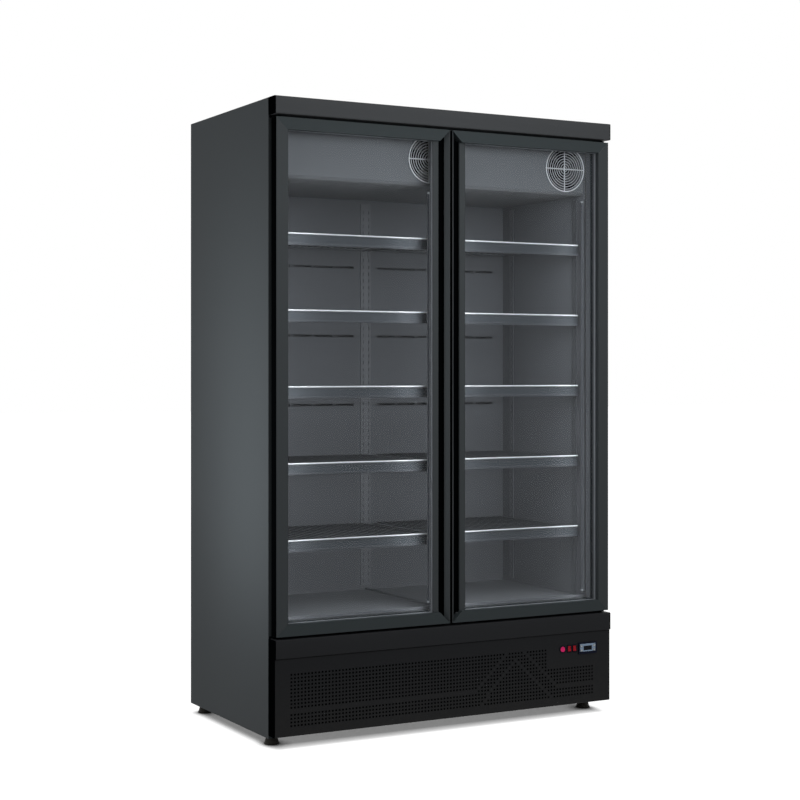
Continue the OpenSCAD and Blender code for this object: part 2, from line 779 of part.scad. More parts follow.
// Distance of the centre clips from the cabinet's middle
centre_clip_x = 7;
module shelf_clips() color([0.8, 0.82, 0.83]) {
    for (i = [0 : shelf_count - 1]) {
        top = rod_bottom(i);
        on_both_sides() {
            for (y = [front_upright_y, rear_upright_y]) {
                block([-inner_x + upright_t, y - 5, top - clip_h],
                    [-inner_x + upright_t + clip_t, y + 5, top]);
                block([-inner_x + upright_t, y - 5, top - clip_t],
                    [-shelf_outer_x + shelf_rod_d, y + 5, top]);
            }
            near = centre_clip_x;
            far = centre_clip_x + clip_w;
            front = frame_back_y + upright_t;
            rear = duct_y - upright_t;
            block([near, front, top - clip_h], [far, front + clip_t, top]);
            block([near, front, top - clip_t], [far, shelf_front_y + shelf_rod_d + 2, top]);
            block([near, rear - clip_t, top - clip_h], [far, rear, top]);
            block([near, shelf_front_y + shelf_d - shelf_rod_d - 2, top - clip_t],
                [far, rear, top]);
        }
    }
}

// Wire shelf with its front left corner over the origin and its top at z = 0
module wire_shelf() {
    rod_z = -wire_d / 2 - rod_r;
    for (y = [rod_r, shelf_d / 2, shelf_d - rod_r])
        bar_x([0, y, rod_z], shelf_w, rod_r, wire_faces);
    for (x = [rod_r, shelf_w - rod_r])
        bar_y([x, 0, rod_z], shelf_d, rod_r, wire_faces);
    for (i = [1 : wire_count])
        bar_y([rod_r + i * (shelf_w - shelf_rod_d) / (wire_count + 1), 0, -wire_d / 2],
            shelf_d, wire_d / 2, wire_faces);
}

module wire_shelves() color([0.3, 0.32, 0.33]) {
    for (i = [0 : shelf_count - 1], x = [-shelf_outer_x, shelf_side_gap])
        translate([x, shelf_front_y, shelf_z(i)]) wire_shelf();
}

// Ticket strip: a hooked channel that hangs on the shelf's front rod
module ticket_strip(length) {
    lip = 3;
    rotate([90, 0, 90]) linear_extrude(length)
        polygon([[0, 3], [0, 3 - strip_h], [-lip, 3 - strip_h], [-lip, 6 - strip_h],
            [-lip - 1, 6 - strip_h], [-lip - 1, 2 - strip_h], [strip_t, 2 - strip_h],
            [strip_t, 0.4], [strip_t + 4, 0.4], [strip_t + 4, 3]]);
}

module ticket_strips() color([0.25, 0.27, 0.28]) {
    // The strips end beside the centre clips
    from = centre_clip_x + clip_w + 1;
    length = shelf_outer_x - 2 - from;
    for (i = [0 : shelf_count - 1], x = [-from - length, from])
        translate([x, shelf_front_y - strip_t - 0.3, shelf_z(i)]) ticket_strip(length);
}

module deck_pans() color([0.7, 0.72, 0.73]) {
    low_y = frame_back_y + 3;
    high_y = duct_y - 2;
    on_both_sides() difference() {
        block([2, low_y, floor_z], [inner_x - 2, high_y, floor_z + deck_edge_h]);
        block([2 + deck_t, low_y + deck_t, floor_z + deck_t],
            [inner_x - 2 - deck_t, high_y - deck_t, floor_z + deck_edge_h + past]);
    }
}

// Lamps on the side walls and on the mullion's rear corners

lamp_low = floor_z + lamp_end_gap;
lamp_high = evap_bottom - lamp_end_gap;
lamp_xs = [inner_x - lamp_t, mullion_w / 2 - lamp_t];
module lamp_bars() color([0.8, 0.82, 0.84]) {
    on_both_sides() for (x = lamp_xs)
        block([x, frame_back_y, lamp_low], [x + lamp_t, frame_back_y + lamp_w, lamp_high]);
}

module lamp_cover() {
    intersection() {
        cylinder(h = lamp_high - lamp_low, r = lamp_cover_r);
        translate([0, -lamp_cover_r - past, 0])
            cube([lamp_cover_r + past, 2 * (lamp_cover_r + past), lamp_high - lamp_low]);
    }
}

module lamp_covers() color([0.95, 0.97, 1]) {
    on_both_sides() {
        translate([mullion_w / 2, frame_back_y + lamp_w / 2, lamp_low]) lamp_cover();
        translate([inner_x - lamp_t, frame_back_y + lamp_w / 2, lamp_low])
            mirror([1, 0, 0]) lamp_cover();
    }
}

// Compressor compartment

module compressor() color([0.07, 0.07, 0.08]) {
    wall = compressor_r;
    top = compressor_h;
    stub_r = 5;
    translate(compressor_pos) {
        rotate_extrude() polygon(concat([[0, 6], [wall * 0.8, 6], [wall, 26], [wall, top * 0.42]],
            [[wall + 4, top * 0.44], [wall + 4, top * 0.5], [wall, top * 0.52]],
            [for (turn = [0 : 15 : 90]) [wall * 0.3 + wall * 0.7 * cos(turn),
                top * 0.62 + top * 0.38 * sin(turn)]], [[0, top]]));
        // Mounting plate and its four legs
        block([-wall - 22, -wall * 0.7, 0], [wall + 22, wall * 0.7, 8]);
        // Stub that the discharge line is brazed to
        bar_y([0, -wall - 16, top * 0.35], 30, stub_r);
        // Terminal cover
        block([wall * 0.7, -30, top * 0.2], [wall + 18, 30, top * 0.55]);
        // Rubber-mounted legs
        for (x = [-wall - 10, wall + 10], y = [-wall * 0.5, wall * 0.5])
            translate([x, y, tray_top - compressor_pos[2]]) cylinder(h = 22, r = 8);
    }
}

pipe_r = 5;
module condenser_coil() color([0.12, 0.12, 0.13]) {
    low = [condenser_x, condenser_y, condenser_z];
    high = [condenser_x + condenser_w, condenser_y + condenser_d, condenser_z + condenser_h];
    bend_r = 22;
    pipe_z = compressor_pos[2] + compressor_h * 0.35;
    pipe_y = condenser_y + condenser_d / 2;
    end_y = compressor_pos[1] - compressor_r - 16;
    finned_coil(low, high, 5, 2, 4);
    // End plates that stand on the tray
    for (x = [low[0] - 1, high[0] - 1])
        block([x, low[1], tray_top], [x + 2, high[1], high[2]]);
    // Discharge line from the coil to the compressor's stub
    bar_x([high[0], pipe_y, pipe_z], compressor_pos[0] - bend_r - high[0], pipe_r);
    translate([compressor_pos[0] - bend_r, pipe_y + bend_r, pipe_z]) rotate([0, 0, -90])
        rotate_extrude(angle = 90) translate([bend_r, 0]) circle(r = pipe_r);
    bar_y([compressor_pos[0], pipe_y + bend_r, pipe_z], end_y - pipe_y - bend_r, pipe_r);
}

// Shroud, motor and arms of the condenser fan
module condenser_fan_frame() color([0.15, 0.15, 0.16]) {
    shroud_t = 2;
    centre_x = condenser_x + condenser_w / 2;
    translate([centre_x, 0, condenser_fan_z])
        fan_motor(condenser_fan_r - 2, condenser_fan_y + shroud_t, condenser_fan_y + 54, 36, 50,
            condenser_fan_y + 16);
    difference() {
        block([condenser_x, condenser_fan_y, tray_top],
            [condenser_x + condenser_w, condenser_fan_y + shroud_t, condenser_z + condenser_h]);
        bar_y([centre_x, condenser_fan_y - past, condenser_fan_z], shroud_t + 2 * past,
            condenser_fan_r);
    }
}

module condenser_fan() color([0.2, 0.2, 0.21]) {
    translate([condenser_x + condenser_w / 2, 0, condenser_fan_z])
        fan_wheel(condenser_fan_r - 6, condenser_fan_y + 18, 30, 35);
}

// Hinges

// Upper left bracket: its pin points down into the door
module hinge_bracket() {
    plate_low = door_top + bush_flange_t + hinge_play;
    plate_high = plate_low + bracket_t;
    outer = -half_w + door_side_inset - 3;
    nose_r = pin_r + 5;
    translate([0, 0, plate_low]) linear_extrude(bracket_t) union() {
        translate([-pivot_x, pivot_y]) circle(r = nose_r);
        polygon([[-pivot_x - nose_r, pivot_y], [outer, face_y], [outer + bracket_w, face_y],
            [-pivot_x + nose_r, pivot_y]]);
    }
    block([outer, face_y - bracket_t + 0.5, plate_low],
        [outer + bracket_w, face_y, plate_high + bracket_flange_h]);
    translate([-pivot_x, pivot_y, door_top - bush_l + 1.5])
        cylinder(h = plate_low - door_top + bush_l, r = pin_r);
}

module hinge_brackets() color([0.55, 0.56, 0.58]) {
    middle = (door_top + door_bottom) / 2;
    on_both_sides() {
        hinge_bracket();
        translate([0, 0, middle]) mirror([0, 0, 1]) translate([0, 0, -middle]) hinge_bracket();
    }
}

// Nylon bushes, pressed into the door's corners
module door_bush() {
    difference() {
        union() {
            translate([0, 0, -bush_l]) cylinder(h = bush_l, r = bush_r);
            cylinder(h = bush_flange_t, r = bush_flange_r);
        }
        translate([0, 0, -bush_l + 1]) cylinder(h = bush_l + bush_flange_t + past, r = pin_r + pin_clearance);
    }
}

module hinge_bushes() {
    translate([-pivot_x, pivot_y, door_top]) door_bush();
    translate([-pivot_x, pivot_y, door_bottom]) mirror([0, 0, 1]) door_bush();
}

module left_hinge_bushes() color([0.85, 0.85, 0.8]) hinge_bushes();
module right_hinge_bushes() color([0.85, 0.85, 0.8]) mirror([1, 0, 0]) hinge_bushes();

// Doors. Each is drawn as the left one. In its own plane u runs from the hinge edge
// to the meeting edge and w from its lower edge up; v runs from its face to the rear.

module at_door() translate([-half_w + door_side_inset, door_front_y, door_bottom]) children();

module bush_holes() {
    for (z = [door_top - bush_l, door_bottom])
        translate([-pivot_x, pivot_y, z - (z == door_bottom ? past : 0)])
            cylinder(h = bush_l + past, r = bush_r);
}

// Prism over an outline in the door's plane, through its whole thickness
module through_door(outline) {
    translate([0, door_t + past, 0]) rotate([90, 0, 0])
        linear_extrude(door_t + 2 * past) polygon(outline);
}

module hinge_stile() {
    body_w = stile_w - glazing_lip_w;
    difference() {
        at_door() intersection() {
            linear_extrude(door_h) polygon([[0, 0], [stile_w, 0], [stile_w, glass_recess],
                [body_w, glass_recess], [body_w, door_t - glazing_lip_t],
                [stile_w, door_t - glazing_lip_t], [stile_w, door_t], [0, door_t]]);
            through_door([[0, 0], [rail_w, rail_w], [stile_w, rail_w],
                [stile_w, door_h - rail_w], [rail_w, door_h - rail_w], [0, door_h]]);
        }
        bush_holes();
    }
}

// The grip groove ends on the mitre, as the rails' faces are plain
module handle_stile() {
    glass_u = door_w - handle_stile_w;
    pocket_u = glass_u + glazing_lip_w;
    groove_u = glass_u + grip_strip_w;
    ridge_u = groove_u + groove_w;
    at_door() intersection() {
        linear_extrude(door_h) polygon([[glass_u, strip_drop], [groove_u, strip_drop], [groove_u, groove_d],
            [ridge_u + groove_undercut, groove_d],
            [ridge_u + groove_undercut, groove_d - undercut_h],
            [ridge_u, ridge_drop], [door_w - 1.5, 0], [door_w, 1.5], [door_w, door_t],
            [glass_u, door_t], [glass_u, door_t - glazing_lip_t],
            [pocket_u, door_t - glazing_lip_t], [pocket_u, glass_recess],
            [glass_u, glass_recess]]);
        through_door([[door_w, 0], [door_w - rail_w, rail_w], [glass_u, rail_w],
            [glass_u, door_h - rail_w], [door_w - rail_w, door_h - rail_w], [door_w, door_h]]);
    }
}

module door_rail() {
    body_w = rail_w - glazing_lip_w;
    at_door() intersection() {
        rotate([90, 0, 90]) linear_extrude(door_w) polygon([[0, 0], [door_t, 0], [door_t, rail_w],
            [door_t - glazing_lip_t, rail_w], [door_t - glazing_lip_t, body_w],
            [glass_recess, body_w], [glass_recess, rail_w], [0, rail_w]]);
        through_door([[0, 0], [rail_w, rail_w], [door_w - rail_w, rail_w], [door_w, 0]]);
    }
}

module door_rails() {
    middle = (door_top + door_bottom) / 2;
    difference() {
        union() {
            door_rail();
            translate([0, 0, middle]) mirror([0, 0, 1]) translate([0, 0, -middle]) door_rail();
        }
        bush_holes();
    }
}

module pane_box(v, t, inset) {
    low_u = stile_w - pane_edge + inset;
    high_u = door_w - handle_stile_w + pane_edge - inset;
    low_w = rail_w - pane_edge + inset;
    block([low_u, v, low_w], [high_u, v + t, door_h - low_w]);
}

module glass_panes() {
    at_door() for (i = [0, 1])
        pane_box(glass_recess + i * (pane_t + pane_gap), pane_t, 0);
}

module glass_spacers() {
    v = glass_recess + pane_t;
    at_door() difference() {
        pane_box(v, pane_gap, spacer_inset);
        pane_box(v - past, pane_gap + 2 * past, spacer_inset + spacer_w);
    }
}

// Magnetic gasket: a clamped foot, a narrow bellows and a wide head
module gasket_ring(v, t, trim) {
    low_u = gasket_hinge_edge + trim;
    high_u = door_w - gasket_edge - trim;
    low_w = gasket_edge + trim;
    width = gasket_w - 2 * trim;
    difference() {
        block([low_u, v, low_w], [high_u, v + t, door_h - low_w]);
        block([low_u + width, v - past, low_w + width],
            [high_u - width, v + t + past, door_h - low_w - width]);
    }
}

module door_gasket() {
    foot_t = gasket_t * 0.25;
    head_t = gasket_t * 0.3;
    at_door() {
        gasket_ring(door_t, foot_t, 2);
        gasket_ring(door_t + foot_t, gasket_t - foot_t - head_t, 4);
        gasket_ring(door_t + gasket_t - head_t, head_t, 0);
    }
}

module left_hinge_stile() color([0.23, 0.24, 0.24]) hinge_stile();
module left_handle_stile() color([0.23, 0.24, 0.24]) handle_stile();
module left_door_rails() color([0.21, 0.23, 0.24]) door_rails();
module left_glass_panes() color([0.7, 0.8, 0.82, 0.3]) glass_panes();
module left_glass_spacers() color([0.1, 0.1, 0.1]) glass_spacers();
module left_door_gasket() color([0.12, 0.12, 0.12]) door_gasket();
module right_hinge_stile() color([0.23, 0.24, 0.24]) mirror([1, 0, 0]) hinge_stile();
module right_handle_stile() color([0.23, 0.24, 0.24]) mirror([1, 0, 0]) handle_stile();
module right_door_rails() color([0.21, 0.23, 0.24]) mirror([1, 0, 0]) door_rails();
module right_glass_panes() color([0.7, 0.8, 0.82, 0.3]) mirror([1, 0, 0]) glass_panes();
module right_glass_spacers() color([0.1, 0.1, 0.1]) mirror([1, 0, 0]) glass_spacers();
module right_door_gasket() color([0.12, 0.12, 0.12]) mirror([1, 0, 0]) door_gasket();

// Controls on the lower grille

switch_d = 22;
pocket_d = 8;
rocker_pin_r = 1.5;
rocker_pin_y = grille_y + 2;
rocker_gap = 0.6;
round_rocker_r = power_r - switch_wall - 1.1;
rocker_w = switch_w - 2 * switch_wall - 2 * rocker_gap;
rocker_h = switch_h - 2 * switch_wall - 3.6;

module controller_pocket(x, z, w, h, depth) {
    front = grille_y - bezel_rise;
    block([x - w / 2, front - past, z - h / 2], [x + w / 2, front + depth, z + h / 2]);
}

module controller_bezel() {
    x = controller_x - half_w;
    body_d = 36;
    edge = 2.5;
    difference() {
        union() {
            block([x - controller_w / 2, grille_y - bezel_rise, controller_z - controller_h / 2],
                [x + controller_w / 2, grille_y, controller_z + controller_h / 2]);
            block([x - controller_w / 2 + edge, grille_y - past, controller_z - controller_h / 2 + 3],
                [x + controller_w / 2 - edge, grille_y + body_d, controller_z + controller_h / 2 - 3]);
        }
        // Sunk face inside a raised rim
        controller_pocket(x, controller_z, controller_w - 8, controller_h - 8, 0.8);
        controller_pocket(x, controller_z, display_w + 0.2, display_h + 0.2, 4);
        for (u = [-button_x, button_x], w = [-button_z, button_z])
            controller_pocket(x + u, controller_z + w, button_w + 2 * button_clearance,
                button_h + 2 * button_clearance, 8);
    }
}

module rocker_frame(x) {
    at_x = x - half_w;
    difference() {
        union() {
            block([at_x - switch_w / 2, grille_y - 3, switch_z - switch_h / 2],
                [at_x + switch_w / 2, grille_y, switch_z + switch_h / 2]);
            block([at_x - switch_w / 2 + 0.7, grille_y - past, switch_z - switch_h / 2 + 0.7],
                [at_x + switch_w / 2 - 0.7, grille_y + switch_d, switch_z + switch_h / 2 - 0.7]);
        }
        block([at_x - switch_w / 2 + switch_wall, grille_y - 3 - past,
            switch_z - switch_h / 2 + switch_wall],
            [at_x + switch_w / 2 - switch_wall, grille_y + pocket_d,
            switch_z + switch_h / 2 - switch_wall]);
    }
    bar_x([at_x - switch_w / 2 + switch_wall / 2, rocker_pin_y, switch_z],
        switch_w - switch_wall, rocker_pin_r, 24);
}

module round_frame() {
    at_x = power_x - half_w;
    difference() {
        union() {
            bar_y([at_x, grille_y - 3, switch_z], 3, power_r);
            bar_y([at_x, grille_y - past, switch_z], switch_d, power_r - 0.7);
        }
        bar_y([at_x, grille_y - 3 - past, switch_z], pocket_d + 3 + past, power_r - switch_wall);
    }
    bar_x([at_x - power_r + switch_wall / 2, rocker_pin_y, switch_z],
        2 * power_r - switch_wall, rocker_pin_r, 24);
}

module control_bezels() color([0.45, 0.5, 0.53]) {
    controller_bezel();
    round_frame();
    rocker_frame(light_x);
    rocker_frame(heater_x);
}

module controller_display() color([0.02, 0.03, 0.05]) {
    x = controller_x - half_w;
    block([x - display_w / 2, grille_y - bezel_rise + 0.5, controller_z - display_h / 2],
        [x + display_w / 2, grille_y, controller_z + display_h / 2]);
}

// Rocker seen from its side, with a shallow valley in its face
module rocker_side(height, rise) {
    polygon([[-rise - 1, -height / 2], [-rise, 0], [-rise - 1, height / 2],
        [0, height / 2], [3, height * 0.28], [3, -height * 0.28], [0, -height / 2]]);
}

module rocker(x, width, height, rise) {
    translate([x - half_w, rocker_pin_y, switch_z]) rotate([-rocker_tilt, 0, 0]) difference() {
        translate([-width / 2, 0, 0]) rotate([90, 0, 90]) linear_extrude(width)
            rocker_side(height, rise);
        bar_x([-width / 2 - past, 0, 0], width + 2 * past, rocker_pin_r + fan_clearance, 24);
    }
}

module power_switch() color([0.75, 0.05, 0.05]) {
    r = round_rocker_r;
    rise = 3;
    translate([power_x - half_w, rocker_pin_y, switch_z]) rotate([-rocker_tilt, 0, 0])
        difference() {
            intersection() {
                translate([-r, 0, 0]) rotate([90, 0, 90]) linear_extrude(2 * r) rocker_side(2 * r, rise);
                bar_y([0, -rise - 2, 0], rise + 6, r);
            }
            bar_x([-r - past, 0, 0], 2 * (r + past), rocker_pin_r + fan_clearance, 24);
        }
}

module light_switch() color([0.75, 0.05, 0.05]) rocker(light_x, rocker_w, rocker_h, 4);
module heater_switch() color([0.75, 0.05, 0.05]) rocker(heater_x, rocker_w, rocker_h, 4);

module button(side, level) {
    x = controller_x - half_w + side * button_x;
    z = controller_z + level * button_z;
    front = grille_y - bezel_rise - 0.6;
    block([x - button_w / 2, front, z - button_h / 2], [x + button_w / 2, front + 7, z + button_h / 2]);
}

module up_button() color([0.6, 0.64, 0.67]) button(-1, 1);
module down_button() color([0.6, 0.64, 0.67]) button(-1, -1);
module set_button() color([0.6, 0.64, 0.67]) button(1, 1);
module defrost_button() color([0.6, 0.64, 0.67]) button(1, -1);

// Levelling feet: a tapered pad, a hexagon and a stud into the base
module foot(x, y) {
    pad_h = ground_gap - 9;
    hex_h = 8.7;
    translate([x, y, 0]) {
        rotate_extrude() polygon([[0, 0], [foot_d / 2 - 1, 0], [foot_d / 2, 2], [foot_d / 2 - 1, 6],
            [foot_d / 2 - 5, pad_h - 2], [foot_d / 2 - 7, pad_h], [0, pad_h]]);
        translate([0, 0, pad_h - 0.5]) cylinder(h = hex_h + 0.5, r = stud_r + 4, $fn = 6);
        translate([0, 0, pad_h]) cylinder(h = 34, r = stud_r);
    }
}

module front_left_foot() color([0.06, 0.06, 0.06]) foot(-foot_x, front_foot_y);
module front_right_foot() color([0.06, 0.06, 0.06]) foot(foot_x, front_foot_y);
module rear_left_foot() color([0.06, 0.06, 0.06]) foot(-foot_x, rear_foot_y);
module rear_right_foot() color([0.06, 0.06, 0.06]) foot(foot_x, rear_foot_y);

side_panels();
top_panel();
back_panel();
chassis_sheets();
foam_insulation();
inner_liner();
front_frame();
centre_mullion();
header_panel();
lower_trim_rail();
front_grille();
rear_grille();
evaporator_cover();
fan_guards();
evaporator_fan_motors();
evaporator_coil();
drip_pan();
duct_panel();
shelf_uprights();
shelf_clips();
wire_shelves();
ticket_strips();
deck_pans();
lamp_bars();
lamp_covers();
compressor();
condenser_coil();
condenser_fan_frame();
hinge_brackets();
control_bezels();
controller_display();
cable_gland();
left_hinge_stile();
left_handle_stile();
left_door_rails();
left_glass_panes();
left_glass_spacers();
left_door_gasket();
left_hinge_bushes();
right_hinge_stile();
right_handle_stile();
right_door_rails();
right_glass_panes();
right_glass_spacers();
right_door_gasket();
right_hinge_bushes();
power_switch();
light_switch();
heater_switch();
up_button();
down_button();
set_button();
defrost_button();
left_evaporator_fan();
right_evaporator_fan();
condenser_fan();
front_left_foot();
front_right_foot();
rear_left_foot();
rear_right_foot();
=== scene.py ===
# Looks of an upright display freezer with two glass doors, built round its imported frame.
# Everything is in metres. X runs to the right, Y to the rear and Z up.
import json
from functools import partialmethod
from math import cos, pi, radians, sin

import bmesh
import bpy
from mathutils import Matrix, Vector
from mathutils.geometry import delaunay_2d_cdt


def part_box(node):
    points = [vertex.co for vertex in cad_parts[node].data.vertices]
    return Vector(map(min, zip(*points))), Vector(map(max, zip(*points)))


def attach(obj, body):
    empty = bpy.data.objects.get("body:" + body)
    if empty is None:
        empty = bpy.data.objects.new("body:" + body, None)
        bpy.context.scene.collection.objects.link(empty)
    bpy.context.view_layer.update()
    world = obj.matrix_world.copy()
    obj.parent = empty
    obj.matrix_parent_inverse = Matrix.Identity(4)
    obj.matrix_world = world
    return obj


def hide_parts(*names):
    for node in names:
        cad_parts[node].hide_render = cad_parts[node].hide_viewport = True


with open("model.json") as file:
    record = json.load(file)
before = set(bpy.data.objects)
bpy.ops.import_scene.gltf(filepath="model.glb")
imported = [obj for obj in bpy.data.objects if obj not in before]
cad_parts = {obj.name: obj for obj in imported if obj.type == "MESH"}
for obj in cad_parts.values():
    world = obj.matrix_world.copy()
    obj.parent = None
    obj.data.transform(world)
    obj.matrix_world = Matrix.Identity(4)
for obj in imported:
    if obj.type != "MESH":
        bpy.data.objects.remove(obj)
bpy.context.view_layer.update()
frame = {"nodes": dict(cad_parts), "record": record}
scene = bpy.context.scene
BODY_OF = {node: body for body, nodes in frame["record"]["behaviour"]["bodies"].items() for node in nodes}
scene.view_settings.view_transform = "Standard"

# Camera, solved from the straight edges in the photograph
CAMERA_PLACE = (-2.7369, -4.9861, 1.1587)
CAMERA_YAW = radians(28.764)
PHOTO_SIZE = 800
FOCAL_PIXELS = 1669.9
HORIZON_ROW = 371.3
SENSOR = 36.0

# Levels of the plain studio light, and how near the cabinet the floor's glow fades into a painted contact
# shadow
WORLD_LEVEL = 0.34
FLOOR_BOUNCE = 0.12
FLOOR_LIFT = 0.95
SHADE_REACH = 0.05

# Main planes, read from the frame
HALF_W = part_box("header_panel")[1].x
FACE_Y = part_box("header_panel")[1].y

# Wall of the front channels, thickness of their moulded end caps, and the gap between the two
CHANNEL_T = 0.002
CAP_T = 0.0022
CAP_SEAM = 0.0004

# Grip groove of the doors: its edge from the cabinet's middle, the depths of the strip beside it
# and of its floor, painted black as shade, and the roll of the edge between strip and groove
GROOVE_REACH = 0.037
STRIP_DROP = 0.015
GROOVE_FLOOR = 0.0185
STRIP_ROLL = 0.012

# Width of the door gaskets
GASKET_W = 0.018

# Shelves and their ticket strips
SHELF_COUNT = 5
SHELF_PITCH = 0.241
SHELF_WIRES = 21
SHELF_ROD = 0.006
SHELF_WIRE = 0.0036
SHELF_W = 0.559
STRIP_H = 0.038

# Perforated field of the lower grille, from the cabinet's left side and from the floor
COLUMN_PITCH = 0.0118
ROW_PITCH = 0.0112
HOLE_SHARE = 0.54
SHEET_T = 0.0015
FIELD_LEFT = 0.0511
FIELD_LOW = 0.0664
FIELD_COLUMNS = 96
TALL_COLUMNS = 80
FIELD_ROWS = 15
LOW_ROWS = 9
PEAK_X = 0.873
OUTER_TIP = 0.267
INNER_TIP = 0.208
LEFT_BAND_ROW = 4
RIGHT_BAND_ROW = 3
FILTER_GAP = 0.003

# Printed panel of the controller: half its width, and its reach past the display below and above
PANEL_HALF_W = 0.0315
PANEL_BELOW = 0.0038
PANEL_ABOVE = 0.0072


# Node helpers


class Term:
    """A node's output, or a node for its first one. Arithmetic on it adds Math nodes."""

    def __init__(self, tree, socket):
        self.tree, self.socket = tree, socket

    def put(self, operation, *values):
        """This output in a Math node, with other outputs or numbers."""
        made = place(self.tree, "ShaderNodeMath", dict(enumerate((self, *values))), operation=operation)
        return Term(self.tree, made)

    __add__ = partialmethod(put, "ADD")
    __sub__ = partialmethod(put, "SUBTRACT")
    __mul__ = partialmethod(put, "MULTIPLY")
    __truediv__ = partialmethod(put, "DIVIDE")
    __lt__ = partialmethod(put, "LESS_THAN")
    __gt__ = partialmethod(put, "GREATER_THAN")
    __abs__ = partialmethod(put, "ABSOLUTE")
    larger = partialmethod(put, "MAXIMUM")

    def __rsub__(self, other):
        return self * -1.0 + other


def place(tree, kind, inputs=None, **settings):
    """Adds a node to a tree, with its settings and with its inputs linked or set."""
    made = tree.nodes.new(kind)
    for key, value in settings.items():
        setattr(made, key, value)
    return fill(tree, made, inputs or {})


def fill(tree, made, inputs):
    """Links or sets the inputs of a node; a node as a value stands for its first output."""
    for key, value in inputs.items():
        value = value.socket if isinstance(value, Term) else value
        value = value.outputs[0] if isinstance(value, bpy.types.Node) else value
        if isinstance(value, bpy.types.NodeSocket):
            tree.links.new(value, made.inputs[key])
        else:
            made.inputs[key].default_value = value
    return made


def group_tree(kind, name, inputs):
    """A node group and its inputs as terms; a word in place of a value is the input's kind."""
    tree = bpy.data.node_groups.new(name, kind)
    for label, value in inputs.items():
        if isinstance(value, tuple):
            socket_type = "Color" if len(value) == 4 else "Vector"
        else:
            socket_type = {float: "Float", int: "Int"}.get(type(value), value)
        socket = tree.interface.new_socket(label, in_out="INPUT", socket_type="NodeSocket" + socket_type)
        if not isinstance(value, str):
            socket.default_value = value
    given = tree.nodes.new("NodeGroupInput")
    return tree, {label: Term(tree, given.outputs[label]) for label in inputs}


def put_out(tree, **outputs):
    """Ends a group in named outputs."""
    result = tree.nodes.new("NodeGroupOutput")
    for label in outputs:
        socket_type = {"Colour": "Color", "Geometry": "Geometry"}.get(label, "Float")
        tree.interface.new_socket(label, in_out="OUTPUT", socket_type="NodeSocket" + socket_type)
    fill(tree, result, outputs)
    return tree


def linear(colour):
    """Linear RGBA of a colour given in sRGB from 0 to 255."""
    shares = [c / 255 for c in colour]
    return tuple(c / 12.92 if c <= 0.04045 else ((c + 0.055) / 1.055) ** 2.4 for c in shares) + (1.0,)


def object_point(tree):
    """Object coordinates."""
    return place(tree, "ShaderNodeTexCoord").outputs["Object"]


def axes(tree, vector):
    """The three parts of a vector."""
    return [Term(tree, part) for part in place(tree, "ShaderNodeSeparateXYZ", {0: vector}).outputs]


def joined(tree, x=0.0, y=0.0, z=0.0):
    """A vector of three parts."""
    return place(tree, "ShaderNodeCombineXYZ", {0: x, 1: y, 2: z})


def noise(tree, point, scale, detail, distortion=0.0):
    """Noise round 0.5."""
    inputs = {"Vector": point, "Scale": scale, "Detail": detail, "Distortion": distortion}
    return Term(tree, place(tree, "ShaderNodeTexNoise", inputs))


def mixed(factor, first, second):
    """A mix of two colours."""
    made = place(factor.tree, "ShaderNodeMix", {0: factor, 6: first, 7: second}, data_type="RGBA")
    return made.outputs[2]


def scaled(colour, level):
    """A colour times a level."""
    return place(level.tree, "ShaderNodeVectorMath", {0: colour, "Scale": level}, operation="SCALE")


# Effects shared by the materials

GREY = (0.5, 0.5, 0.5, 1.0)


def make_coat_group():
    """Sprayed or moulded skin: a slight cloud in colour and gloss, and a fine grain in height."""
    tree, given = group_tree("ShaderNodeTree", "fine_skin", {
        "Colour": GREY, "Variation": 0.08, "Roughness": 0.5, "Spread": 0.1, "Grain Scale": 700.0})
    point = object_point(tree)
    swing = noise(tree, point, 2.6, 4.0) * 0.65 + noise(tree, point, 23.0, 3.0) * 0.35 - 0.5
    return put_out(tree, Colour=scaled(given["Colour"], swing * given["Variation"] + 1.0),
                   Roughness=swing * given["Spread"] + given["Roughness"],
                   Height=noise(tree, point, given["Grain Scale"], 1.5))


def make_dust_group():
    """Dust that settles on faces turned up, and a film that grows towards the floor."""
    tree, given = group_tree("ShaderNodeTree", "settled_dust", {
        "Colour": GREY, "Dust Colour": linear((120, 116, 108)), "On Top": 0.1, "Near Floor": 0.1,
        "Reach": 0.25})
    point = object_point(tree)
    upward = axes(tree, place(tree, "ShaderNodeNewGeometry").outputs["Normal"])[2]
    fall = 1.0 - axes(tree, point)[2] / given["Reach"]
    cover = upward.larger(0.0) * given["On Top"] + fall.larger(0.0) * given["Near Floor"]
    mask = cover * noise(tree, point, 38.0, 5.0)
    return put_out(tree, Colour=mixed(mask, given["Colour"], given["Dust Colour"]))


def make_drawn_group():
    """Rolled or drawn metal: fine streaks along one axis."""
    tree, given = group_tree("ShaderNodeTree", "drawn_metal", {
        "Roughness": 0.35, "Spread": 0.15, "Stretch": (300.0, 300.0, 8.0)})
    stretched = place(tree, "ShaderNodeVectorMath", {0: object_point(tree), 1: given["Stretch"]},
                      operation="MULTIPLY")
    streak = noise(tree, stretched, 1.0, 3.0)
    return put_out(tree, Roughness=(streak - 0.5) * given["Spread"] + given["Roughness"], Height=streak)


def make_spangle_group():
    """Zinc coat: pale and dark crystals."""
    tree, given = group_tree("ShaderNodeTree", "zinc_spangle", {
        "Colour": GREY, "Crystal Scale": 90.0, "Contrast": 0.3})
    crystal = place(tree, "ShaderNodeTexVoronoi", {
        "Vector": object_point(tree), "Scale": given["Crystal Scale"]})
    tone = place(tree, "ShaderNodeSeparateColor", {0: crystal.outputs["Color"]})
    swing = Term(tree, tone) - 0.5
    return put_out(tree, Colour=scaled(given["Colour"], swing * given["Contrast"] + 1.0),
                   Roughness=swing * 0.16 + 0.42)


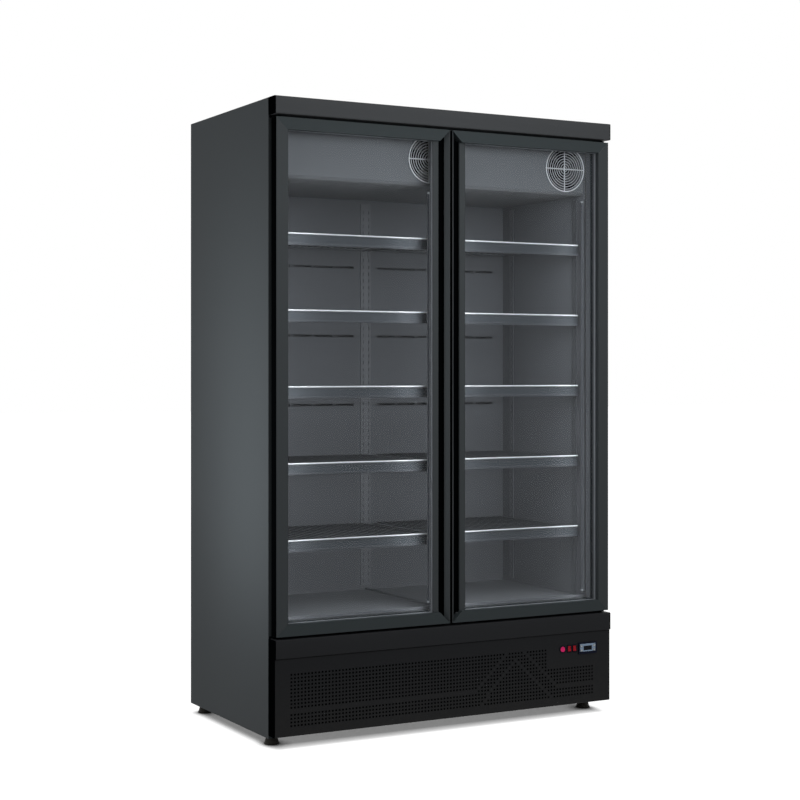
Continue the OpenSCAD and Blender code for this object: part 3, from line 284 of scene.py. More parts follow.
def make_touch_group():
    """Marks of hands round the grips: 1 where the skin is polished by touch."""
    tree, given = group_tree("ShaderNodeTree", "hand_marks", {
        "Half Width": 0.12, "Height": 1.15, "Half Height": 0.35})
    point = object_point(tree)
    x, _, z = axes(tree, point)
    along = abs(z - given["Height"]) / given["Half Height"]
    near = 1.0 - (abs(x) / given["Half Width"]).larger(along)
    return put_out(tree, Mask=near.larger(0.0) * noise(tree, point, 30.0, 6.0, 1.2))


FINE_SKIN = make_coat_group()
DUST = make_dust_group()
DRAWN = make_drawn_group()
SPANGLE = make_spangle_group()
TOUCH = make_touch_group()


# Materials

MATERIALS = {}


def new_material(name):
    """The node tree and the Principled shader of a new material."""
    material = bpy.data.materials.new(name)
    material.use_nodes = True
    MATERIALS[name] = material
    return material.node_tree, material.node_tree.nodes["Principled BSDF"]


def use_group(tree, group, **values):
    """Outputs of a placed group; a value named grain_scale sets the input Grain Scale."""
    inputs = {key.replace("_", " ").title(): value for key, value in values.items()}
    return place(tree, "ShaderNodeGroup", inputs, node_tree=group).outputs


def surface(tree, shader, colour, roughness, height, relief, plain):
    """Feeds a shader its colour, roughness and height, and sets its plain values."""
    bump = place(tree, "ShaderNodeBump", {"Height": height, "Strength": 1.0, "Distance": relief})
    fill(tree, shader, {"Base Color": colour, "Roughness": roughness, "Normal": bump, **plain})


def painted(name, colour, roughness=0.5, specular=0.25, variation=0.1, grain=700.0, relief=0.00004,
            dust=(0.0, 0.0), touched=False):
    """Paint or moulded plastic: fine skin, a little dust, and more gloss where hands reach."""
    tree, shader = new_material(name)
    skin = use_group(tree, FINE_SKIN, colour=linear(colour), variation=variation, roughness=roughness,
                     spread=0.12, grain_scale=grain)
    shade, rough = skin["Colour"], skin["Roughness"]
    if any(dust):
        shade = use_group(tree, DUST, colour=shade, on_top=dust[0], near_floor=dust[1])[0]
    if touched:
        rough = Term(tree, use_group(tree, TOUCH)[0]) * -0.25 + rough
    surface(tree, shader, shade, rough, skin["Height"], relief, {"Specular IOR Level": specular})


def metal(name, colour, roughness=0.35, stretch=(400, 400, 12), metallic=1.0):
    """Drawn or plated metal with streaks along its long axis."""
    tree, shader = new_material(name)
    skin = use_group(tree, FINE_SKIN, colour=linear(colour), variation=0.1, roughness=roughness,
                     spread=0.1, grain_scale=500.0)
    streak = use_group(tree, DRAWN, roughness=skin["Roughness"], spread=0.16, stretch=stretch)
    surface(tree, shader, skin["Colour"], streak["Roughness"], streak["Height"], 0.00002,
            {"Metallic": metallic})


def galvanised(name, colour, contrast=0.3, metallic=0.75):
    """Zinc-coated sheet."""
    tree, shader = new_material(name)
    zinc = use_group(tree, SPANGLE, colour=linear(colour), crystal_scale=90.0, contrast=contrast)
    shade = use_group(tree, DUST, colour=zinc["Colour"], on_top=0.2, near_floor=0.35)[0]
    skin = use_group(tree, FINE_SKIN, grain_scale=260.0)
    surface(tree, shader, shade, zinc["Roughness"], skin["Height"], 0.00003, {"Metallic": metallic})


def bezel_finish(name, rim_colour, panel_colour):
    """Dark moulded bezel with a pale printed panel round its display."""
    tree, shader = new_material(name)
    low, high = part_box("controller_display")
    x, _, z = axes(tree, object_point(tree))
    panel = (abs(x - (low.x + high.x) / 2) < PANEL_HALF_W) * (z > low.z - PANEL_BELOW)
    panel = panel * (z < high.z + PANEL_ABOVE)
    skin = use_group(tree, FINE_SKIN, colour=mixed(panel, linear(rim_colour), linear(panel_colour)),
                     variation=0.06, roughness=0.38, spread=0.1, grain_scale=900.0)
    surface(tree, shader, skin["Colour"], skin["Roughness"], skin["Height"], 0.00002,
            {"Specular IOR Level": 0.06})


def clear_glass(name, tint, ior):
    """Panes that let the light of lamps and of lit surfaces through."""
    tree, shader = new_material(name)
    smear = use_group(tree, FINE_SKIN, colour=linear(tint), variation=0.03, roughness=0.0, spread=0.0,
                      grain_scale=6.0)
    fill(tree, shader, {"Base Color": smear["Colour"], "Roughness": 0.0, "IOR": ior,
                        "Transmission Weight": 1.0})
    rays = place(tree, "ShaderNodeLightPath").outputs
    passing = Term(tree, rays["Is Shadow Ray"]).larger(rays["Is Diffuse Ray"])
    clear = place(tree, "ShaderNodeBsdfTransparent", {0: linear(tint)})
    both = place(tree, "ShaderNodeMixShader", {0: passing, 1: shader, 2: clear})
    fill(tree, tree.nodes["Material Output"], {"Surface": both})


def lit_plastic(name, colour, glow, strength):
    """Translucent plastic with a lamp behind it."""
    tree, shader = new_material(name)
    skin = use_group(tree, FINE_SKIN, colour=linear(colour), variation=0.12, roughness=0.3, spread=0.1,
                     grain_scale=900.0)
    light = use_group(tree, FINE_SKIN, colour=linear(glow), variation=0.2)
    surface(tree, shader, skin["Colour"], skin["Roughness"], skin["Height"], 0.00002,
            {"Specular IOR Level": 0.12, "Emission Color": light["Colour"], "Emission Strength": strength})


def make_materials():
    """Every finish of the freezer."""
    painted("grey_paint", (70, 75, 78), specular=0.04, variation=0.07, grain=620.0, dust=(0.12, 0.05))
    painted("header_paint", (61, 63, 65), specular=0.14, variation=0.07, dust=(0.1, 0.0))
    painted("dark_paint", (36, 37, 39), roughness=0.52, specular=0.08)
    painted("black_paint", (24, 25, 27), specular=0.09, variation=0.12, dust=(0.1, 0.08))
    painted("frame_profile", (58, 62, 64), roughness=0.42, specular=0.12, variation=0.08, grain=900.0,
            relief=0.00003, touched=True)
    # A darker copy of the frame paint for the door rails: painted shade
    painted("rail_painted_shade", (51, 57, 59), roughness=0.45, specular=0.12, variation=0.08)
    painted("liner", (107, 110, 114), roughness=0.55, specular=0.15, variation=0.08, dust=(0.05, 0.0))
    painted("evaporator_paint", (109, 112, 115), specular=0.15, variation=0.06)
    # A pale copy of the frame paint for the doors' inner returns beside the glass: painted light on faces
    # that lie in shade
    painted("painted_light_edge", (110, 113, 117), specular=0.15, variation=0.08)
    painted("black_plastic", (4, 5, 6), roughness=0.7, specular=0.0, variation=0.2, grain=1500.0)
    painted("fleece", (14, 15, 17), roughness=0.9, specular=0.05, variation=0.3, grain=1200.0, relief=0.0002)
    painted("gasket", (92, 95, 98), roughness=0.7, specular=0.1, variation=0.2, grain=400.0)
    painted("spacer", (138, 141, 145), roughness=0.45)
    painted("nylon", (205, 203, 190), variation=0.08)
    painted("strip", (73, 76, 80), roughness=0.42, specular=0.12, variation=0.08)
    # Near-white bead along the strips' top edge: a painted highlight
    painted("highlight_bead", (222, 225, 228), roughness=0.3, specular=0.4, variation=0.05)
    painted("insert", (66, 70, 74), roughness=0.6, specular=0.12, variation=0.12)
    painted("foam", (96, 96, 92), roughness=0.9, specular=0.05, variation=0.2, grain=200.0, relief=0.0004)
    painted("key", (150, 160, 168), roughness=0.45, variation=0.08)
    painted("mark_paint", (230, 232, 234), variation=0.05)
    painted("display", (5, 7, 14), roughness=0.3, specular=0.06)
    painted("compressor", (14, 14, 15), roughness=0.4, specular=0.3, variation=0.2, dust=(0.4, 0.3))
    painted("foot", (12, 12, 12), roughness=0.65, specular=0.2, variation=0.2, dust=(0.3, 0.3))
    bezel_finish("bezel", (10, 14, 32), (158, 180, 206))
    metal("wire", (84, 87, 90), roughness=0.4, stretch=(60, 20, 60), metallic=0.3)
    metal("guard", (192, 195, 199), stretch=(90, 90, 90), metallic=0.2)
    metal("guard_rim", (226, 229, 232), roughness=0.3, stretch=(90, 90, 90), metallic=0.1)
    metal("zinc", (165, 168, 172), roughness=0.34)
    metal("lamp_metal", (190, 194, 198))
    metal("coil", (150, 154, 158), roughness=0.45, stretch=(60, 60, 400))
    metal("screw_steel", (120, 122, 126), stretch=(500, 500, 500))
    galvanised("galvanised", (168, 171, 174))
    galvanised("rack_zinc", (112, 115, 119), contrast=0.08, metallic=0.2)
    clear_glass("glass", (252, 253, 254), 1.12)
    lit_plastic("lamp_lens", (92, 95, 99), (226, 236, 246), 0.005)
    lit_plastic("red_rocker", (136, 16, 32), (255, 40, 40), 0.06)
    lit_plastic("round_rocker", (180, 20, 74), (255, 60, 140), 0.2)


# Mesh helpers

PLANES = {"X": lambda a, b, s: (s, a, b), "Y": lambda a, b, s: (a, s, b), "Z": lambda a, b, s: (a, b, s)}
NEAR_MERGE = 1e-6
CUT_MERGE = 1e-7
EDGE_ANGLE = 32


def smooth_to(mesh, angle):
    """Smooth shading, with edges sharper than an angle kept hard."""
    mesh.shade_smooth()
    mesh.set_sharp_from_angle(angle=radians(angle))


def link_mesh(name, shape, finish, smooth=None):
    """An object of a mesh or a bmesh, at the origin, in one finish."""
    mesh = shape
    if isinstance(shape, bmesh.types.BMesh):
        mesh = bpy.data.meshes.new(name)
        shape.to_mesh(mesh)
        shape.free()
    mesh.materials.clear()
    mesh.materials.append(MATERIALS[finish])
    mesh.name = name
    piece = bpy.data.objects.new(name, mesh)
    scene.collection.objects.link(piece)
    if smooth is not None:
        smooth_to(mesh, smooth)
    return piece


def settle(piece, node=None, body="cabinet"):
    """The piece rides on a body and may stand for a CAD node."""
    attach(piece, body)
    if node:
        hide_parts(node)
    return piece


def add_piece(name, shape, finish, node=None, body="cabinet", smooth=None):
    """A piece of one finish that rides on a body."""
    settle(link_mesh(name, shape, finish, smooth), node, body)


def dressed(node, finish, edge=0.0):
    """A merged copy of a CAD node with its edges rounded by a bevel, which stands for it."""
    shape = bmesh.new()
    shape.from_mesh(frame["nodes"][node].data)
    bmesh.ops.remove_doubles(shape, verts=shape.verts, dist=NEAR_MERGE)
    bmesh.ops.dissolve_limit(shape, angle_limit=radians(0.5), verts=shape.verts, edges=shape.edges)
    piece = link_mesh(node + ".skin", shape, finish)
    if edge:
        bevel = piece.modifiers.new("soft_edges", "BEVEL")
        bevel.width = edge
        bevel.segments = 2
        bevel.limit_method = "ANGLE"
        bevel.angle_limit = radians(EDGE_ANGLE)
        bevel.harden_normals = True
        smooth_to(piece.data, EDGE_ANGLE)
    return settle(piece, node, BODY_OF[node])


def repaint(piece, finish, rule):
    """Gives another finish to the faces that a rule picks by centre and normal."""
    piece.data.materials.append(MATERIALS[finish])
    last = len(piece.data.materials) - 1
    for face in piece.data.polygons:
        if rule(face.center, face.normal):
            face.material_index = last


def add_copy(shape, mesh, offset):
    """Adds a mesh to a bmesh, moved by an offset."""
    start = len(shape.verts)
    shape.from_mesh(mesh)
    shape.verts.ensure_lookup_table()
    bmesh.ops.translate(shape, verts=shape.verts[start:], vec=offset)


def bridge(shape, first, second):
    """Adds the faces between two closed loops of corners, and returns them."""
    quads = zip(first, first[1:] + first[:1], second[1:] + second[:1], second)
    return [shape.faces.new(quad) for quad in quads]


def prism(shape, outline, axis, start, end):
    """Adds a closed prism over an outline to a bmesh."""
    at = PLANES[axis]
    first, second = [[shape.verts.new(at(a, b, level)) for a, b in outline] for level in (start, end)]
    faces = [shape.faces.new(first), shape.faces.new(second[::-1]), *bridge(shape, first, second)]
    bmesh.ops.recalc_face_normals(shape, faces=faces)


def rectangle(low, high, radius=0.0):
    """Outline of a rectangle between two corners, with rounded corners if a radius is given."""
    if not radius:
        return [(low[0], low[1]), (high[0], low[1]), (high[0], high[1]), (low[0], high[1])]
    centres = rectangle((low[0] + radius, low[1] + radius), (high[0] - radius, high[1] - radius))
    steps = 4
    return [point_on(centre, radius, 180 + 90 * turn + 90 * step / steps)
            for turn, centre in enumerate(centres) for step in range(steps + 1)]


def point_on(centre, radius, degrees):
    """A point of a circle."""
    return centre[0] + radius * cos(radians(degrees)), centre[1] + radius * sin(radians(degrees))


def circle(centre, radius, count=32):
    """Outline of a circle."""
    return [point_on(centre, radius, 360 * i / count) for i in range(count)]


def is_inside(point, outline):
    """True if a point lies within a closed outline."""
    inside = False
    for (x0, y0), (x1, y1) in zip(outline, outline[1:] + outline[:1]):
        if (y0 > point[1]) != (y1 > point[1]):
            inside ^= point[0] < (x1 - x0) * (point[1] - y0) / (y1 - y0) + x0
    return inside


def pierced_triangles(outline, holes):
    """Points of an outline and its holes, and the triangles between them."""
    points, edges = [], []
    for loop in [outline, *holes]:
        first = len(points)
        points += [Vector(p) for p in loop]
        edges += [(first + i, first + (i + 1) % len(loop)) for i in range(len(loop))]
    corners, _, triangles = delaunay_2d_cdt(points, edges, [], 1, CUT_MERGE)[:3]
    middles = [sum((corners[i] for i in triangle), Vector((0, 0))) / 3 for triangle in triangles]
    return corners, [triangle for triangle, middle in zip(triangles, middles)
                     if not any(is_inside(middle, hole) for hole in holes)]


def pierced_plate(shape, outline, holes, axis, start, end):
    """Adds a flat plate with openings to a bmesh, closed all round."""
    corners, triangles = pierced_triangles(outline, holes)
    at = PLANES[axis]
    near, far = [[shape.verts.new(at(p.x, p.y, level)) for p in corners] for level in (start, end)]
    faces, rim = [], {}
    for triangle in triangles:
        faces.append(shape.faces.new([near[i] for i in triangle]))
        faces.append(shape.faces.new([far[i] for i in reversed(triangle)]))
        for i, corner in enumerate(triangle):
            rim.setdefault(frozenset((corner, triangle[(i + 1) % 3])), []).append(corner)
    for pair, uses in rim.items():
        if len(uses) == 1:
            a, b = pair
            faces.append(shape.faces.new((near[a], near[b], far[b], far[a])))
    bmesh.ops.recalc_face_normals(shape, faces=faces)


def lathe(shape, profile, centre, axis="Z", count=48):
    """Adds a body of revolution to a bmesh; the profile holds (radius, height) pairs along Z or -Y."""
    rings = []
    for radius, height in profile:
        points = circle((0, 0), radius, count) if radius > NEAR_MERGE else [(0, 0)]
        rings.append([shape.verts.new(centre + Vector((x, -height, y) if axis == "-Y" else (x, y, height)))
                      for x, y in points])
    faces = []
    for low, high in zip(rings, rings[1:]):
        for i in range(count):
            after = (i + 1) % count
            corners = [low[i % len(low)], low[after % len(low)], high[after % len(high)], high[i % len(high)]]
            unique = [v for k, v in enumerate(corners) if v not in corners[:k]]
            if len(unique) > 2:
                faces.append(shape.faces.new(unique))
    faces += [shape.faces.new(ring) for ring in (rings[0], rings[-1]) if len(ring) > 1]
    bmesh.ops.recalc_face_normals(shape, faces=faces)


def swept_ring(shape, profile, low, high):
    """Adds a mitred ring round a rectangle in the XZ plane; the profile holds (inset, y) pairs."""
    loops = [[shape.verts.new((x, y, z)) for x, z in rectangle((low[0] + inset, low[1] + inset),
                                                               (high[0] - inset, high[1] - inset))]
             for inset, y in profile]
    faces = []
    for first, second in zip(loops, loops[1:] + loops[:1]):
        faces += bridge(shape, first, second)
    bmesh.ops.recalc_face_normals(shape, faces=faces)


# Geometry Nodes


def grown(name, tree, finish, base=None, smooth=None, **sizes):
    """Runs a tree once and keeps its result as a plain mesh."""
    seed = bpy.data.objects.new(name + ".seed", base or bpy.data.meshes.new(name + ".seed"))
    scene.collection.objects.link(seed)
    growth = seed.modifiers.new("growth", "NODES")
    growth.node_group = tree
    wanted = {key.replace("_", " ").title(): value for key, value in sizes.items()}
    wanted["Finish"] = MATERIALS[finish]
    for item in tree.interface.items_tree:
        if item.item_type == "SOCKET" and item.in_out == "INPUT" and item.name in wanted:
            growth[item.identifier] = wanted[item.name]
    depsgraph = bpy.context.evaluated_depsgraph_get()
    mesh = bpy.data.meshes.new_from_object(seed.evaluated_get(depsgraph))
    bpy.data.objects.remove(seed)
    return link_mesh(name, mesh, finish, smooth)


def end_tree(tree, shape, finish):
    """Ends a tree in Realize Instances and Set Material."""
    real = place(tree, "GeometryNodeRealizeInstances", {0: shape})
    last = place(tree, "GeometryNodeSetMaterial", {0: real, "Material": finish})
    return put_out(tree, Geometry=last)


def moved(tree, shape, **change):
    """A shape after a Transform."""
    return place(tree, "GeometryNodeTransform", {0: shape, **change})


def together(tree, *shapes):
    """Several shapes as one."""
    both = place(tree, "GeometryNodeJoinGeometry")
    for shape in shapes:
        fill(tree, both, {0: shape})
    return both


def copies(tree, count, form, **change):
    """Instances of a form, all at the origin, each turned or scaled in its own way."""
    points = place(tree, "GeometryNodeMeshLine", {"Count": count, "Offset": (0, 0, 0)})
    return place(tree, "GeometryNodeInstanceOnPoints", {"Points": points, "Instance": form, **change})


def tube(tree, curve, radius, sides):
    """Round wire along a curve."""
    ring = place(tree, "GeometryNodeCurvePrimitiveCircle", {"Resolution": sides, "Radius": radius})
    return place(tree, "GeometryNodeCurveToMesh", {0: curve, 1: ring, "Fill Caps": True})


def rods(tree, count, start, step, direction, length, radius):
    """Round rods, one at each step from a start."""
    points = place(tree, "GeometryNodeMeshLine", {"Count": count, "Start Location": start, "Offset": step})
    span = place(tree, "GeometryNodeCurvePrimitiveLine", {"Direction": direction, "Length": length},
                 mode="DIRECTION")
    laid = place(tree, "GeometryNodeInstanceOnPoints", {"Points": points, "Instance": span})
    real = place(tree, "GeometryNodeRealizeInstances", {0: laid})
    return tube(tree, real, radius, 10)


def make_field_tree():
    """Rows of cells, pierced except on two peaked stripes and on a level band at each side of them."""
    tree, size = group_tree("GeometryNodeTree", "perforated_field", {
        "Columns": 96, "Rows": 15, "Tall Columns": 80, "Low Rows": 9, "Column Pitch": 0.012,
        "Row Pitch": 0.011, "Hole Share": 0.5, "Thickness": 0.0015, "Left": 0.0, "Low": 0.0, "Peak X": 0.0,
        "Outer Tip": 0.0, "Inner Tip": 0.0, "Left Band": 4, "Right Band": 3, "Finish": "Material"})
    width = size["Columns"] * size["Column Pitch"]
    height = size["Rows"] * size["Row Pitch"]
    grid = place(tree, "GeometryNodeMeshGrid", {
        "Size X": width, "Size Y": height, "Vertices X": size["Columns"] + 1.0,
        "Vertices Y": size["Rows"] + 1.0})
    middle_x, middle_z = width * 0.5 + size["Left"], height * 0.5 + size["Low"]
    across, up, _ = axes(tree, place(tree, "GeometryNodeInputPosition"))
    x, z = across + middle_x, up + middle_z
    # A stripe and a band leave out one hole of each row or column that they cross
    climb = abs(x - size["Peak X"]) + z
    half = size["Column Pitch"] * 0.5
    outer, inner = [abs(climb - size[tip]) < half for tip in ("Outer Tip", "Inner Tip")]
    row = ((z - size["Low"]) / size["Row Pitch"]).put("FLOOR")
    change = size["Right Band"] - size["Left Band"]
    over_band = row - ((x > size["Peak X"]) * change + size["Left Band"])
    band = (abs(over_band) < 0.5) * (climb > size["Outer Tip"])
    plain = (outer * (over_band > -0.5)).larger(inner).larger(band)
    # The corner under the controls has no cells
    right = size["Tall Columns"] * size["Column Pitch"] + size["Left"]
    above = size["Low Rows"] * size["Row Pitch"] + size["Low"]
    field = place(tree, "GeometryNodeDeleteGeometry", {0: grid, 1: (x > right) * (z > above)},
                  domain="FACE")
    split = place(tree, "GeometryNodeExtrudeMesh", {
        "Mesh": field, "Selection": plain < 0.5, "Offset Scale": 0.0, "Individual": True})
    drawn_in = place(tree, "GeometryNodeScaleElements", {
        0: split, 1: split.outputs["Top"], "Scale": size["Hole Share"]}, domain="FACE")
    open_sheet = place(tree, "GeometryNodeDeleteGeometry",
                       {0: drawn_in, 1: split.outputs["Top"]}, domain="FACE")
    merged = place(tree, "GeometryNodeMergeByDistance", {0: open_sheet, "Distance": 1e-5})
    raised = place(tree, "GeometryNodeExtrudeMesh", {
        "Mesh": merged, "Offset": joined(tree, z=size["Thickness"]), "Offset Scale": 1.0,
        "Individual": False})
    rear = place(tree, "GeometryNodeFlipFaces", {0: merged})
    both = together(tree, raised, rear)
    closed = place(tree, "GeometryNodeMergeByDistance", {0: both, "Distance": 1e-5})
    upright = moved(tree, closed, Translation=joined(tree, middle_x, 0.0, middle_z),
                    Rotation=(pi / 2, 0, 0))
    return end_tree(tree, upright, size["Finish"])


def make_shelf_tree():
    """Wire shelf: a rounded rod frame, cross rods under the wires and wires from front to rear."""
    tree, size = group_tree("GeometryNodeTree", "wire_shelf", {
        "Width": 0.56, "Depth": 0.47, "Wires": 20, "Cross Rods": 3, "Rod": 0.006, "Wire": 0.004,
        "Corner": 0.014, "Finish": "Material"})
    rod_r, wire_r = size["Rod"] * 0.5, size["Wire"] * 0.5
    inner_w, inner_d = size["Width"] - size["Rod"], size["Depth"] - size["Rod"]
    half_w, half_d = inner_w * 0.5, inner_d * 0.5
    rod_z = (size["Wire"] + rod_r) * -1.0
    outline = place(tree, "GeometryNodeCurvePrimitiveQuadrilateral", {"Width": inner_w, "Height": inner_d})
    rounded = place(tree, "GeometryNodeFilletCurve", {
        0: outline, "Count": 6, "Radius": size["Corner"]}, mode="POLY")
    rim = moved(tree, tube(tree, rounded, rod_r, 12), Translation=joined(tree, z=rod_z))
    wire_step = inner_w / (size["Wires"] + 1.0)
    wires = rods(tree, size["Wires"], joined(tree, wire_step - half_w, half_d * -1.0, wire_r * -1.0),
                 joined(tree, wire_step), (0, 1, 0), inner_d, wire_r)
    rod_step = inner_d / (size["Cross Rods"] + 1.0)
    cross = rods(tree, size["Cross Rods"], joined(tree, half_w * -1.0, rod_step - half_d, rod_z),
                 joined(tree, y=rod_step), (1, 0, 0), inner_w, rod_r)
    smooth = place(tree, "GeometryNodeSetShadeSmooth", {0: together(tree, rim, wires, cross)})
    return end_tree(tree, smooth, size["Finish"])


def make_guard_tree():
    """Fan guard: rings at even steps, and spokes behind them."""
    tree, size = group_tree("GeometryNodeTree", "fan_guard", {
        "Radius": 0.077, "Rings": 11, "Wire": 0.002, "Spokes": 4, "Finish": "Material"})
    index = Term(tree, place(tree, "GeometryNodeInputIndex"))
    ring = place(tree, "GeometryNodeCurvePrimitiveCircle", {"Resolution": 56, "Radius": size["Radius"]})
    rings = copies(tree, size["Rings"], ring, Scale=(index + 1.0) / size["Rings"])
    spoke = place(tree, "GeometryNodeCurvePrimitiveLine", {
        "Start": joined(tree, size["Radius"] * -1.0), "End": joined(tree, size["Radius"])})
    spokes = copies(tree, size["Spokes"], spoke, Rotation=joined(tree, z=index * pi / size["Spokes"]))
    behind = moved(tree, spokes, Translation=joined(tree, z=size["Wire"]))
    real = place(tree, "GeometryNodeRealizeInstances", {0: together(tree, rings, behind)})
    wires = tube(tree, real, size["Wire"] * 0.5, 8)
    smooth = place(tree, "GeometryNodeSetShadeSmooth", {0: wires})
    upright = moved(tree, smooth, Rotation=(-pi / 2, 0, 0))
    return end_tree(tree, upright, size["Finish"])


def make_scatter_tree():
    """Copies of one fastener on the points of a mesh, all facing one way, each with its own twist."""
    tree, size = group_tree("GeometryNodeTree", "fasteners", {
        "Points": "Geometry", "Fastener": "Object", "Turn": (0.0, 0.0, 0.0), "Spread": 6.28, "Seed": 7,
        "Finish": "Material"})
    form = place(tree, "GeometryNodeObjectInfo", {0: size["Fastener"]})
    spin = place(tree, "FunctionNodeRandomValue", {"Max": size["Spread"], "Seed": size["Seed"]},
                 data_type="FLOAT")
    laid = place(tree, "GeometryNodeInstanceOnPoints", {
        "Points": size["Points"], "Instance": form.outputs["Geometry"], "Rotation": size["Turn"]})
    twisted = place(tree, "GeometryNodeRotateInstances", {
        0: laid, "Rotation": joined(tree, z=spin.outputs[1])})
    return end_tree(tree, twisted, size["Finish"])


FIELD_TREE = make_field_tree()
SHELF_TREE = make_shelf_tree()
GUARD_TREE = make_guard_tree()
SCATTER_TREE = make_scatter_tree()


# Fasteners


def make_screw_form():
    """Pan head screw with a cross recess, its seat at z = 0 and its head along +Z."""
    head_r, flat_r, head_h, recess_d = 0.0042, 0.0027, 0.0022, 0.0014
    arm, half = 0.0021, 0.00055
    count = 16
    cross = [(half, half), (half, arm), (-half, arm), (-half, half), (-arm, half), (-arm, -half),
             (-half, -half), (-half, -arm), (half, -arm), (half, -half), (arm, -half), (arm, half)]
    shape = bmesh.new()
    levels = [(head_r, 0.0), (head_r, head_h * 0.45), (head_r * 0.86, head_h * 0.85), (flat_r, head_h)]
    rings = [[shape.verts.new((x, y, z)) for x, y in circle((0, 0), r, count)] for r, z in levels]
    for low, high in zip(rings, rings[1:]):
        bridge(shape, high, low)
    shape.faces.new(rings[0])
    rim = rings[-1] + [shape.verts.new((x, y, head_h)) for x, y in cross]
    for triangle in pierced_triangles([v.co.xy for v in rings[-1]], [cross])[1]:
        shape.faces.new([rim[i] for i in triangle])
    floor = [shape.verts.new((x * 0.7, y * 0.7, head_h - recess_d)) for x, y in cross]
    shape.faces.new(floor)
    bridge(shape, rim[count:], floor)
    bmesh.ops.recalc_face_normals(shape, faces=shape.faces)
    return link_mesh("screw_form", shape, "screw_steel", smooth=40)


SCREW_TURNS = {"+Y": (-pi / 2, 0, 0), "+Z": (0, 0, 0)}


def drive_screws(name, points, facing):
    """Screws at a list of points, with their heads facing one way."""
    base = bpy.data.meshes.new(name + ".points")
    base.from_pydata(points, [], [])
    settle(grown(name, SCATTER_TREE, "screw_steel", base, smooth=40, fastener=screw_form,
                 turn=SCREW_TURNS[facing], seed=11))


def spaced(first, last, count):
    """Evenly spaced numbers from first to last."""
    return [first + (last - first) * i / (count - 1) for i in range(count)]


# Cabinet shell


def make_front_channel(node, finish, corner):
    """Header or trim rail: a folded channel with rounded front corners between two moulded end caps."""
    low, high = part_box(node)
    outline = [(high.y, low.z)]
    for turn, centre_z in enumerate([low.z + corner, high.z - corner]):
        outline += [point_on((low.y + corner, centre_z), corner, 270 - 22.5 * step - 90 * turn)
                    for step in range(5)]
    wall_y, wall_low, wall_high = low.y + CHANNEL_T, low.z + CHANNEL_T, high.z - CHANNEL_T
    outline += [(high.y, high.z), (high.y, wall_high), (wall_y, wall_high), (wall_y, wall_low),
                (high.y, wall_low)]
    shape = bmesh.new()
    prism(shape, outline, "X", low.x + CAP_T + CAP_SEAM, high.x - CAP_T - CAP_SEAM)
    add_piece(node + ".channel", shape, finish, node, smooth=30)
    # Each cap has a lip that plugs into the channel
    play, lip_l, lip_rear = 0.0005, 0.008, 0.006
    caps = bmesh.new()
    cap_outline = rectangle((low.y, low.z), (high.y, high.z), corner)
    lip = rectangle((wall_y + play, wall_low + play), (high.y - lip_rear, wall_high - play))
    for start, lip_start in ((low.x, low.x + CAP_T), (high.x - CAP_T, high.x - CAP_T - lip_l)):
        prism(caps, cap_outline, "X", start, start + CAP_T)
        prism(caps, lip, "X", lip_start, lip_start + lip_l)
    add_piece(node + ".end_caps", caps, "black_plastic", smooth=30)


def make_shell():
    """Side, top and back panels with their screws, header and trim rail."""
    sides = dressed("side_panels", "grey_paint", 0.0005)
    repaint(sides, "galvanised", lambda centre, normal: abs(centre.x) < HALF_W - 0.001 and
            abs(normal.x) > 0.5)
    dressed("top_panel", "header_paint", 0.0005)
    dressed("back_panel", "galvanised", 0.0005)
    make_front_channel("header_panel", "header_paint", 0.004)
    make_front_channel("lower_trim_rail", "dark_paint", 0.003)
    low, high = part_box("back_panel")
    inset, flange_x = 0.012, HALF_W - 0.014
    rows = spaced(low.z + inset, high.z - inset, 9)
    drive_screws("back_panel_screws", [(side * flange_x, high.y, z) for side in (-1, 1) for z in rows], "+Y")
    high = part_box("top_panel")[1]
    edge, rear_edge, sunk = 0.03, 0.02, 0.0026
    columns = spaced(-HALF_W + edge, HALF_W - edge, 6)
    drive_screws("top_panel_screws", [(x, high.y - rear_edge, high.z - sunk) for x in columns], "+Z")


# Lower grille


def box_cutout(low, high, gap_x, gap_z):
    """A rectangular cutout round a box in the XZ plane."""
    return rectangle((low.x - gap_x, low.z - gap_z), (high.x + gap_x, high.z + gap_z))


